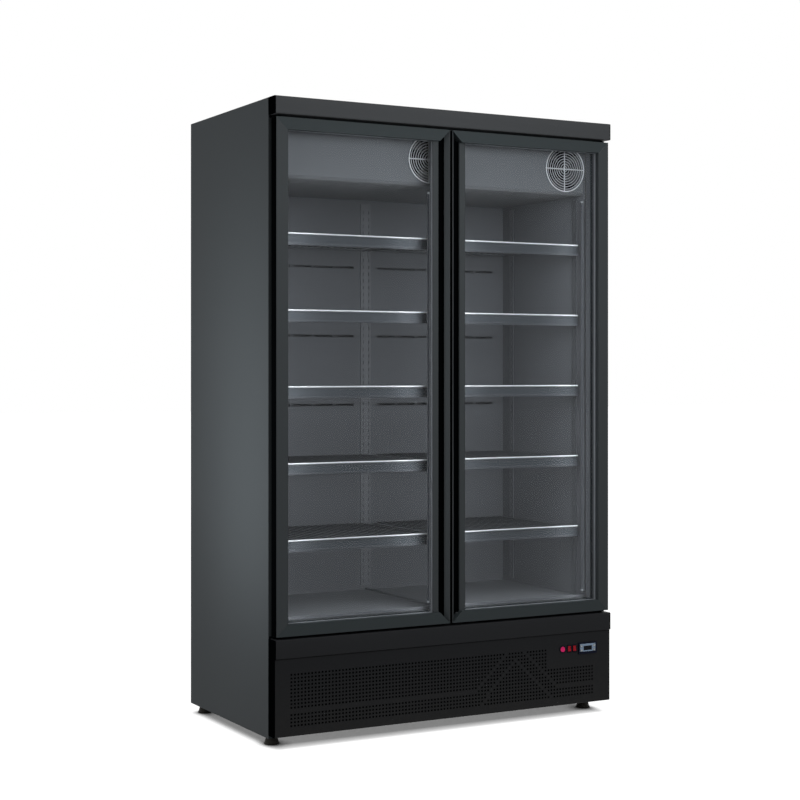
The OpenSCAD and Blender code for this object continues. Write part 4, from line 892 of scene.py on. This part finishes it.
def make_front_grille():
    """Perforated sheet with rounded returns, a fleece filter and moulded ends."""
    low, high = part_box("front_grille")
    front, rear, corner = low.y, FACE_Y, 0.003
    left, right = low.x + CAP_T, high.x - CAP_T
    field = grown("grille_field", FIELD_TREE, "black_paint", columns=FIELD_COLUMNS, rows=FIELD_ROWS,
                  tall_columns=TALL_COLUMNS, low_rows=LOW_ROWS, column_pitch=COLUMN_PITCH,
                  row_pitch=ROW_PITCH, hole_share=HOLE_SHARE, thickness=SHEET_T, left=FIELD_LEFT,
                  low=FIELD_LOW, peak_x=PEAK_X, outer_tip=OUTER_TIP, inner_tip=INNER_TIP,
                  left_band=LEFT_BAND_ROW, right_band=RIGHT_BAND_ROW)
    # The tree draws the field from the cabinet's left side, with its face at y = -thickness
    for vertex in field.data.vertices:
        vertex.co += Vector((-HALF_W, front + SHEET_T, 0))
    settle(field, "front_grille")
    x0, z0 = FIELD_LEFT - HALF_W, FIELD_LOW
    x1, x2 = x0 + TALL_COLUMNS * COLUMN_PITCH, x0 + FIELD_COLUMNS * COLUMN_PITCH
    z1, z2 = z0 + LOW_ROWS * ROW_PITCH, z0 + FIELD_ROWS * ROW_PITCH
    window = [(x0, z0), (x2, z0), (x2, z1), (x1, z1), (x1, z2), (x0, z2)]
    # Cutouts for the controls lie hidden under their bezels
    round_low, round_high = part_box("power_switch")
    middle = ((round_low.x + round_high.x) / 2, (round_low.z + round_high.z) / 2)
    gap_x, gap_z, panel_gap_x, panel_gap_z = 0.001, 0.002, 0.020, 0.011
    cutouts = [box_cutout(*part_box("controller_display"), panel_gap_x, panel_gap_z),
               circle(middle, (round_high.x - round_low.x) / 2 + gap_x)]
    cutouts += [box_cutout(*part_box(node), gap_x, gap_z) for node in ("light_switch", "heater_switch")]
    shape = bmesh.new()
    face = rectangle((left, low.z + corner), (right, high.z - corner))
    pierced_plate(shape, face, [window, *cutouts], "Y", front, front + SHEET_T)
    for z, turn in ((low.z, 1), (high.z, -1)):
        outer, inner = [[(front + corner - reach * cos(radians(18 * step)),
                          z + turn * (corner - reach * sin(radians(18 * step)))) for step in range(6)]
                        for reach in (corner, corner - SHEET_T)]
        prism(shape, outer + [(rear, z), (rear, z + turn * SHEET_T)] + inner[::-1], "X", left, right)
    add_piece("grille_sheet", shape, "black_paint", smooth=30)
    filter_y, filter_t, over, over_step = front + SHEET_T + FILTER_GAP, 0.002, 0.004, 0.002
    fleece = bmesh.new()
    prism(fleece, [(x0 - over, z0 - over), (x2 + over, z0 - over), (x2 + over, z1 + over_step),
                   (x1 + over, z1 + over_step), (x1 + over, z2 + over), (x0 - over, z2 + over)],
          "Y", filter_y, filter_y + filter_t)
    add_piece("grille_filter", fleece, "fleece")
    ends = bmesh.new()
    for start in (low.x, right):
        prism(ends, rectangle((front, low.z), (rear, high.z), corner), "X", start, start + CAP_T)
    add_piece("grille_ends", ends, "black_plastic", smooth=30)


# Doors


def roll_strip_edge(piece, front):
    """Rolls the edge where the strip beside the glass turns into the grip groove."""
    near = 0.0006
    shape = bmesh.new()
    shape.from_mesh(piece.data)
    picked = {v for v in shape.verts
              if abs(abs(v.co.x) - GROOVE_REACH) < near and abs(v.co.y - front - STRIP_DROP) < near}
    edges = [e for e in shape.edges if set(e.verts) <= picked and abs(e.verts[0].co.z - e.verts[1].co.z) > 1]
    bmesh.ops.bevel(shape, geom=edges, offset=STRIP_ROLL, segments=6, profile=0.5, affect="EDGES")
    shape.to_mesh(piece.data)
    shape.free()
    smooth_to(piece.data, EDGE_ANGLE)


def make_door(side):
    """Painted frame with its grip groove, panes, spacers and gasket."""
    stile = dressed(f"{side}_hinge_stile", "frame_profile", 0.0006)
    grip = dressed(f"{side}_handle_stile", "frame_profile", 0.0006)
    # The rails take the darker copy of the frame paint as painted shade
    rails = dressed(f"{side}_door_rails", "rail_painted_shade", 0.0006)
    low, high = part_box(f"{side}_handle_stile")
    roll_strip_edge(grip, low.y)
    behind_strip, outer_x, end, near, past_groove = low.y + STRIP_DROP, 0.6, 0.002, 0.001, 0.004

    def at_end(centre):
        return not low.z + end < centre.z < high.z - end

    # Black hinge-stile sides; black groove and rail ends as painted shade; pale edges beside the glass as
    # painted light
    repaint(stile, "black_plastic", lambda centre, normal: abs(normal.x) > 0.9 and abs(centre.x) > outer_x)
    # Painted light on the stile's inner returns
    repaint(stile, "painted_light_edge", lambda centre, normal: normal.x * centre.x < -0.5 * abs(centre.x) and
            centre.y > behind_strip - near)
    # Painted shade: the groove's walls and floor in black
    repaint(grip, "black_plastic", lambda centre, normal: abs(centre.x) < GROOVE_REACH + near and
            (abs(normal.x) > 0.97 or (centre.y > low.y + GROOVE_FLOOR and normal.y < 0.5)))
    # Painted light on the grip's faces beside the glass
    repaint(grip, "painted_light_edge", lambda centre, normal: abs(centre.x) > GROOVE_REACH + past_groove and
            abs(normal.x) > 0.9)
    # Painted shade on the rails' top and bottom ends, painted light on their inner faces
    repaint(rails, "black_plastic", lambda centre, normal: abs(normal.z) > 0.9 and at_end(centre))
    repaint(rails, "painted_light_edge", lambda centre, normal: abs(normal.z) > 0.9 and not at_end(centre) and
            centre.y > behind_strip)
    dressed(f"{side}_glass_panes", "glass")
    dressed(f"{side}_glass_spacers", "spacer", 0.0004)
    make_gasket(side)


def make_gasket(side):
    """Magnetic gasket: clamped foot, two bellows folds and a flat head."""
    node = f"{side}_door_gasket"
    low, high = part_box(node)
    outer = [(0.002, 0.0), (0.002, 0.18), (0.0045, 0.30), (0.0025, 0.42), (0.0045, 0.54), (0.0022, 0.64),
             (0.0, 0.72), (0.0004, 0.94), (0.002, 1.0)]
    inner = [(GASKET_W - inset, share) for inset, share in reversed(outer)]
    shape = bmesh.new()
    swept_ring(shape, [(inset, low.y + share * (high.y - low.y)) for inset, share in outer + inner],
               (low.x, low.z), (high.x, high.z))
    add_piece(f"{side}_gasket.bellows", shape, "gasket", node, BODY_OF[node], smooth=50)


# Inside of the cabinet


def make_shelves():
    """Wire shelves, from the tree, one for each tier and bay."""
    low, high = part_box("wire_shelves")
    gap = -low.x - SHELF_W
    one = grown("wire_shelf.form", SHELF_TREE, "wire", width=SHELF_W, depth=high.y - low.y, wires=SHELF_WIRES,
                cross_rods=3, rod=SHELF_ROD, wire=SHELF_WIRE, corner=0.014)
    for tier in range(SHELF_COUNT):
        shape = bmesh.new()
        for side in (-1, 1):
            add_copy(shape, one.data, Vector((side * (gap + SHELF_W / 2), (low.y + high.y) / 2,
                                              high.z - tier * SHELF_PITCH)))
        add_piece(f"wire_shelves.tier_{SHELF_COUNT - tier}", shape, "wire",
                  node=None if tier else "wire_shelves")
    bpy.data.objects.remove(one)


def make_ticket_strips():
    """Ticket strips: a holder with rolled lips, a dark insert and a bead along the top, near-white as a
    painted highlight.
    """
    first_low, first_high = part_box("ticket_strips")
    lip_reach, left, right, card_play = 0.004, 0.016, first_high.x, 0.001
    front = first_low.y + lip_reach
    # Parts of the outlines (y, z), each from the strip's top or bottom edge
    lip = [(0, 0), (0, -0.0052), (-0.0018, -0.0058), (-0.0022, -0.0078), (-0.0014, -0.0084),
           (-0.0006, -0.0068), (0.0006, -0.0066)]
    tray = [(0.0006, 0.0030), (-0.0024, 0.0038), (-0.0028, 0.0072), (-0.0036, 0.0070), (-0.0040, 0.0020),
            (-0.0030, 0), (0.0020, 0)]
    hook = [(0.0020, -0.0026), (0.0060, -0.0026), (0.0060, 0)]
    card_front = [(-0.0002, -0.0072)]
    card_foot = [(-0.0012, 0.0045), (-0.0008, 0.0042)]
    card_rear = [(0.0004, -0.0072)]
    bead_y, bead_z, bead_ahead = 0.0020, 0.0022, 0.0006
    holder, insert, highlight_bead = bmesh.new(), bmesh.new(), bmesh.new()
    for tier in range(SHELF_COUNT):
        top = first_high.z - tier * SHELF_PITCH
        low = top - STRIP_H
        body, card = [[(front + y, z + level) for outline, level in parts for y, z in outline]
                      for parts in (((lip, top), (tray, low), (hook, top)),
                                    ((card_front, top), (card_foot, low), (card_rear, top)))]
        roll = [(front - bead_ahead + bead_y * cos(radians(a)), top - bead_z + bead_z * sin(radians(a)))
                for a in range(0, 360, 30)]
        for side in (-1, 1):
            start, end = sorted((side * left, side * right))
            prism(holder, body, "X", start, end)
            prism(insert, card, "X", start + card_play, end - card_play)
            prism(highlight_bead, roll, "X", start, end)
    add_piece("ticket_strips.holders", holder, "strip", node="ticket_strips", smooth=35)
    add_piece("ticket_strips.inserts", insert, "insert")
    # The bead's near-white finish is a painted highlight along the strip's edge
    add_piece("ticket_strips.beads", highlight_bead, "highlight_bead", smooth=40)


def make_lamps():
    """Opal covers with end plugs over the lamp bars."""
    dressed("lamp_bars", "lamp_metal", 0.0004)
    low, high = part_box("lamp_covers")
    radius, plug_l = 0.005, 0.006
    middle_y = (low.y + high.y) / 2
    shape, plugs = bmesh.new(), bmesh.new()
    outer_x, inner_x = 0.569, 0.038
    for base, way in ((outer_x, -1), (inner_x, 1)):
        for side in (-1, 1):
            arc = [(side * (base + way * radius * cos(radians(a))), middle_y + radius * sin(radians(a)))
                   for a in range(-90, 91, 15)]
            prism(shape, arc, "Z", low.z + plug_l, high.z - plug_l)
            for start in (low.z, high.z - plug_l):
                prism(plugs, arc, "Z", start, start + plug_l)
    add_piece("lamp_covers.lens", shape, "lamp_lens", node="lamp_covers", smooth=40)
    add_piece("lamp_covers.plugs", plugs, "lamp_metal", smooth=40)


def make_fan_guards():
    """Round guards on the evaporator cover: fine rings, and a heavier rim with its spokes."""
    low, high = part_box("fan_guards")
    fans = [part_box("left_evaporator_fan"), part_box("right_evaporator_fan")]
    for part, finish, rings, spokes, wire, y in (("wires", "guard", 9, 0, 0.0026, 0.0011),
                                                 ("frames", "guard_rim", 1, 2, 0.0040, 0.0001)):
        one = grown("fan_guard.form", GUARD_TREE, finish, radius=(high.z - low.z) / 2 - wire / 2, rings=rings,
                    wire=wire, spokes=spokes)
        shape = bmesh.new()
        for fan_low, fan_high in fans:
            add_copy(shape, one.data, Vector(((fan_low.x + fan_high.x) / 2, low.y + y, (low.z + high.z) / 2)))
        bpy.data.objects.remove(one)
        add_piece("fan_guards." + part, shape, finish, "fan_guards" if part == "wires" else None)


def make_fan(node):
    """Fan with twisted, swept blades on a domed hub."""
    low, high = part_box(node)
    centre = (low + high) / 2
    depth = high.y - low.y
    blades, hub_r, tip_gap = 5, 0.020, 0.001
    root_r, tip_r = hub_r * 0.96, (high.z - low.z) / 2 - tip_gap
    # Pitch in degrees, chord as a share of the depth, sweep in radians, bow as a share of the chord
    root_pitch, pitch_drop, tip_sweep, bow = 42, 18, 0.35, 0.08
    root_chord, chord_rise, tip_round = 0.95, 0.45, 0.25
    shape = bmesh.new()
    hub = [(0.0, 0.5), (0.55, 0.5), (0.9, 0.42), (1.0, 0.3), (1.0, -0.5), (0.0, -0.5)]
    lathe(shape, [(hub_r * out, depth * up) for out, up in hub], centre, "-Y", 36)
    spans, chords, wall = 8, 6, 0.0016
    for blade in range(blades):
        grid = []
        for i in range(spans + 1):
            share = i / spans
            r = root_r + (tip_r - root_r) * share
            pitch = radians(root_pitch - pitch_drop * share)
            chord = depth * (root_chord + chord_rise * share) * (1 - tip_round * share ** 4)
            sweep = tip_sweep * share ** 1.5
            row = []
            for j in range(chords + 1):
                along = (j / chords - 0.5) * chord
                camber = bow * chord * (1 - (2 * j / chords - 1) ** 2)
                angle = 2 * pi * blade / blades + sweep + along * cos(pitch) / r
                y = max(-depth / 2, min(depth / 2, along * sin(pitch) - camber))
                row.append(centre + Vector((r * cos(angle), y, r * sin(angle))))
            grid.append(row)
        add_sheet(shape, grid, wall)
    add_piece(node + ".wheel", shape, "black_plastic", node, BODY_OF[node], smooth=35)


def add_sheet(shape, grid, wall):
    """Adds a closed thin sheet over a grid of points, thickened along Y."""
    half = Vector((0, wall / 2, 0))
    layers = [[[shape.verts.new(p + way * half) for p in row] for row in grid] for way in (-1, 1)]
    rows, columns = len(grid), len(grid[0])
    faces = [shape.faces.new((layer[i][j], layer[i + 1][j], layer[i + 1][j + 1], layer[i][j + 1]))
             for layer in layers for i in range(rows - 1) for j in range(columns - 1)]
    rim = [(i, 0) for i in range(rows)] + [(rows - 1, j) for j in range(1, columns)]
    rim += [(i, columns - 1) for i in range(rows - 2, -1, -1)] + [(0, j) for j in range(columns - 2, 0, -1)]
    faces += bridge(shape, *[[layer[i][j] for i, j in rim] for layer in layers])
    bmesh.ops.recalc_face_normals(shape, faces=faces)


def make_interior():
    """Liner, frame, mullion, panels, racks, shelves, lamps and guards."""
    dressed("inner_liner", "liner", 0.0005)
    opening = dressed("front_frame", "frame_profile", 0.0008)
    repaint(opening, "liner", lambda centre, normal: normal.x * centre.x < -0.9 * abs(centre.x))
    dressed("centre_mullion", "frame_profile", 0.0008)
    dressed("duct_panel", "liner")
    dressed("evaporator_cover", "evaporator_paint", 0.0006)
    dressed("deck_pans", "liner", 0.0005)
    dressed("shelf_uprights", "rack_zinc")
    dressed("shelf_clips", "rack_zinc", 0.0003)
    make_shelves()
    make_ticket_strips()
    make_lamps()
    make_fan_guards()


# Controls


def make_controls():
    """Bezels, display, keys with raised marks, and lit rockers."""
    dressed("control_bezels", "bezel", 0.0006)
    dressed("controller_display", "display", 0.0004)
    for node in ("up_button", "down_button", "set_button", "defrost_button"):
        dressed(node, "key", 0.0008)
        make_key_mark(node)
    dressed("power_switch", "round_rocker", 0.0004)
    dressed("light_switch", "red_rocker", 0.0004)
    dressed("heater_switch", "red_rocker", 0.0004)


def make_key_mark(node):
    """A small raised mark on a key: arrows, a ring or a star."""
    low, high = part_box(node)
    x, z = (low.x + high.x) / 2, (low.z + high.z) / 2
    reach, proud, layer, ring_share, ray_share = 0.0022, 0.00025, 0.00003, 0.6, 0.13
    front = low.y - proud
    shape = bmesh.new()
    if node in ("up_button", "down_button"):
        rise = reach if node == "up_button" else -reach
        foot = z - rise * 0.7
        prism(shape, [(x - reach, foot), (x + reach, foot), (x, z + rise)], "Y", front, low.y)
    elif node == "set_button":
        hole = circle((x, z), reach * ring_share, 20)
        pierced_plate(shape, circle((x, z), reach, 20), [hole], "Y", front, low.y)
    else:
        for turn in range(3):
            along = Vector(point_on((0, 0), reach, 60 * turn))
            across = Vector((-along.y, along.x)) * ray_share
            ends = (along + across, across - along, -along - across, along - across)
            prism(shape, [(x + end.x, z + end.y) for end in ends], "Y", front - turn * layer, low.y)
    add_piece(node + ".mark", shape, "mark_paint", body=BODY_OF[node])


# Base and rear


def make_foot(node):
    """Rubber pad, hexagon and threaded stud."""
    low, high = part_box(node)
    body = BODY_OF[node]
    centre = Vector(((low.x + high.x) / 2, (low.y + high.y) / 2, 0))
    pad_r = (high.x - low.x) / 2
    pad_h, hex_r, hex_h = 0.021, 0.009, 0.0087
    stud_r, pitch, groove, tip, chamfer = 0.005, 0.0015, 0.0009, 0.001, 0.002
    shape = bmesh.new()
    rim = [(0.002, 0.0), (0.0008, 0.0008), (0.0, 0.002), (0.0, 0.005), (0.001, 0.006), (0.002, 0.0066)]
    neck = [(0.005, 0.003), (0.0062, 0.0008), (0.008, 0.0)]
    lathe(shape, [(0.0, low.z)] + [(pad_r - inset, low.z + rise) for inset, rise in rim] +
          [(pad_r - inset, pad_h - drop) for inset, drop in neck] + [(0.0, pad_h)], centre, "Z", 56)
    add_piece(node + ".pad", shape, "foot", node, body, smooth=40)
    steel = bmesh.new()
    thread_z = pad_h + hex_h
    prism(steel, circle((centre.x, centre.y), hex_r, 6), "Z", pad_h, thread_z)
    thread = [(0.0, thread_z)]
    for i in range(int((high.z - pad_h - hex_h - tip) / pitch)):
        z = thread_z + i * pitch
        thread += [(stud_r - groove, z), (stud_r, z + pitch / 2)]
    thread += [(stud_r - groove, high.z - tip), (stud_r - chamfer, high.z), (0.0, high.z)]
    lathe(steel, thread, centre, "Z", 20)
    add_piece(node + ".stud", steel, "zinc", body=body, smooth=35)


CAD_FINISHES = {
    "chassis_sheets": "dark_paint", "foam_insulation": "foam", "evaporator_fan_motors": "black_plastic",
    "evaporator_coil": "coil", "drip_pan": "galvanised", "compressor": "compressor",
    "condenser_coil": "black_paint", "condenser_fan_frame": "black_plastic",
    "hinge_brackets": "black_plastic", "cable_gland": "black_plastic",
    "left_hinge_bushes": "nylon", "right_hinge_bushes": "nylon"}


def make_base():
    """Rear grille, feet and fans, and finishes on the CAD nodes that stay."""
    dressed("rear_grille", "galvanised", 0.0003)
    for node in ("front_left_foot", "front_right_foot", "rear_left_foot", "rear_right_foot"):
        make_foot(node)
    for node in ("left_evaporator_fan", "right_evaporator_fan", "condenser_fan"):
        make_fan(node)
    low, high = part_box("rear_grille")
    inset, louvre_rise = 0.012, 0.0085
    points = [(x, high.y - louvre_rise, z) for x in spaced(low.x + inset, high.x - inset, 6)
              for z in (low.z + inset, high.z - inset)]
    drive_screws("rear_grille_screws", points, "+Y")
    for node, finish in CAD_FINISHES.items():
        for held in frame["nodes"][node].material_slots:
            held.material = MATERIALS[finish]


# Camera, light and floor


def stand(name, data, spot=(0.0, 0.0, 0.0)):
    """An object of the studio at a spot."""
    made = bpy.data.objects.new(name, data)
    made.location = spot
    scene.collection.objects.link(made)
    return made


def make_camera():
    """The photograph's viewing angle, level, with its horizon kept by the shift."""
    camera = bpy.data.cameras.new("photo_camera")
    camera.sensor_width = SENSOR
    camera.lens = SENSOR * FOCAL_PIXELS / PHOTO_SIZE
    camera.shift_y = (HORIZON_ROW - PHOTO_SIZE / 2) / PHOTO_SIZE
    camera.clip_end = 200
    scene.camera = stand("photo_camera", camera, CAMERA_PLACE)
    scene.camera.rotation_euler = (pi / 2, 0, -CAMERA_YAW)


def seen_rays(tree):
    """1 for rays from the camera, mirrored rays and rays through glass."""
    rays = place(tree, "ShaderNodeLightPath").outputs
    both = Term(tree, rays["Is Camera Ray"]).larger(rays["Is Glossy Ray"])
    return both.larger(rays["Is Transmission Ray"])


def make_world():
    """White where it is seen, and a plain level as light."""
    world = bpy.data.worlds.new("studio")
    world.use_nodes = True
    scene.world = world
    tree = world.node_tree
    level = seen_rays(tree) * (1.0 - WORLD_LEVEL) + WORLD_LEVEL
    fill(tree, tree.nodes["Background"], {"Color": (1, 1, 1, 1), "Strength": level})


def make_floor():
    """Pale floor that keeps the shadow and is white where it is seen, with a painted contact shadow near the
    cabinet.
    """
    half = 40.0
    mesh = bpy.data.meshes.new("floor")
    mesh.from_pydata([(x, y, 0) for x, y in rectangle((-half, -half), (half, half))], [], [(0, 1, 2, 3)])
    tree, shader = new_material("studio_floor")
    seen = seen_rays(tree)
    shade = mixed(seen, (FLOOR_BOUNCE,) * 3 + (1.0,), (0.4, 0.4, 0.4, 1))
    # Painted contact shadow: the glow that whitens the seen floor fades by ambient occlusion near the cabinet
    near = place(tree, "ShaderNodeAmbientOcclusion", {"Distance": SHADE_REACH})
    painted_shadow_glow_share = place(tree, "ShaderNodeMapRange", {
        "Value": near.outputs["AO"], "From Min": 0.3, "From Max": 0.75, "To Min": 0.03, "To Max": 1.0})
    glow = seen * FLOOR_LIFT * painted_shadow_glow_share
    lift = place(tree, "ShaderNodeCombineColor", {0: glow, 1: glow, 2: glow})
    fill(tree, shader, {"Base Color": shade, "Roughness": 0.9, "Specular IOR Level": 0.0,
                        "Emission Color": lift, "Emission Strength": 1.0})
    mesh.materials.append(MATERIALS["studio_floor"])
    stand("floor", mesh)


def soft_lamp(name, spot, aim, size, power):
    """A rectangular lamp that faces a point and isn't seen itself."""
    lamp = bpy.data.lights.new(name, "AREA")
    lamp.shape = "RECTANGLE"
    lamp.size, lamp.size_y = size
    lamp.energy = power
    holder = stand(name, lamp, spot)
    holder.rotation_euler = (Vector(aim) - Vector(spot)).to_track_quat("-Z", "Y").to_euler()
    holder.visible_camera = False
    holder.visible_glossy = False
    holder.visible_transmission = False


def make_lights():
    """Soft lamps in front, at the left and above, and the strips inside the cabinet."""
    key = bpy.data.lights.new("sky_key", "SUN")
    key.energy = 0.35
    key.angle = radians(70)
    stand("sky_key", key).rotation_euler = Vector((0.15, 0.6, -0.9)).to_track_quat("-Z", "Y").to_euler()
    soft_lamp("front_glow", (0.05, -1.95, 1.92), (0.05, 0.0, 1.92), (1.3, 0.8), 19)
    soft_lamp("side_glow", (-HALF_W - 0.45, -0.17, 1.0), (-HALF_W, -0.17, 1.1), (0.45, 1.1), 3.8)
    soft_lamp("left_fill", (-4.2, -1.7, 1.4), (0.0, -0.3, 1.3), (1.5, 1.5), 6.5)
    covers_low, covers_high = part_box("lamp_covers")
    strip_w, power, top_gap = 0.008, 1.2, 0.07
    low, high = covers_low.z, covers_high.z - top_gap
    middle_z = (low + high) / 2
    outer_x, inner_x, lamp_y, aim_y = 0.55, 0.068, FACE_Y - 0.004, FACE_Y + 0.35
    for name, x, way in (("left_outer", -outer_x, 1), ("left_inner", -inner_x, -1),
                         ("right_inner", inner_x, 1), ("right_outer", outer_x, -1)):
        soft_lamp(f"{name}_strip", (x, lamp_y, middle_z), (x + way, aim_y, middle_z),
                  (strip_w, high - low), power)


make_materials()
screw_form = make_screw_form()
make_camera()
make_world()
make_lights()
make_floor()
make_shell()
make_front_grille()
make_door("left")
make_door("right")
make_interior()
make_controls()
make_base()
bpy.data.objects.remove(screw_form)
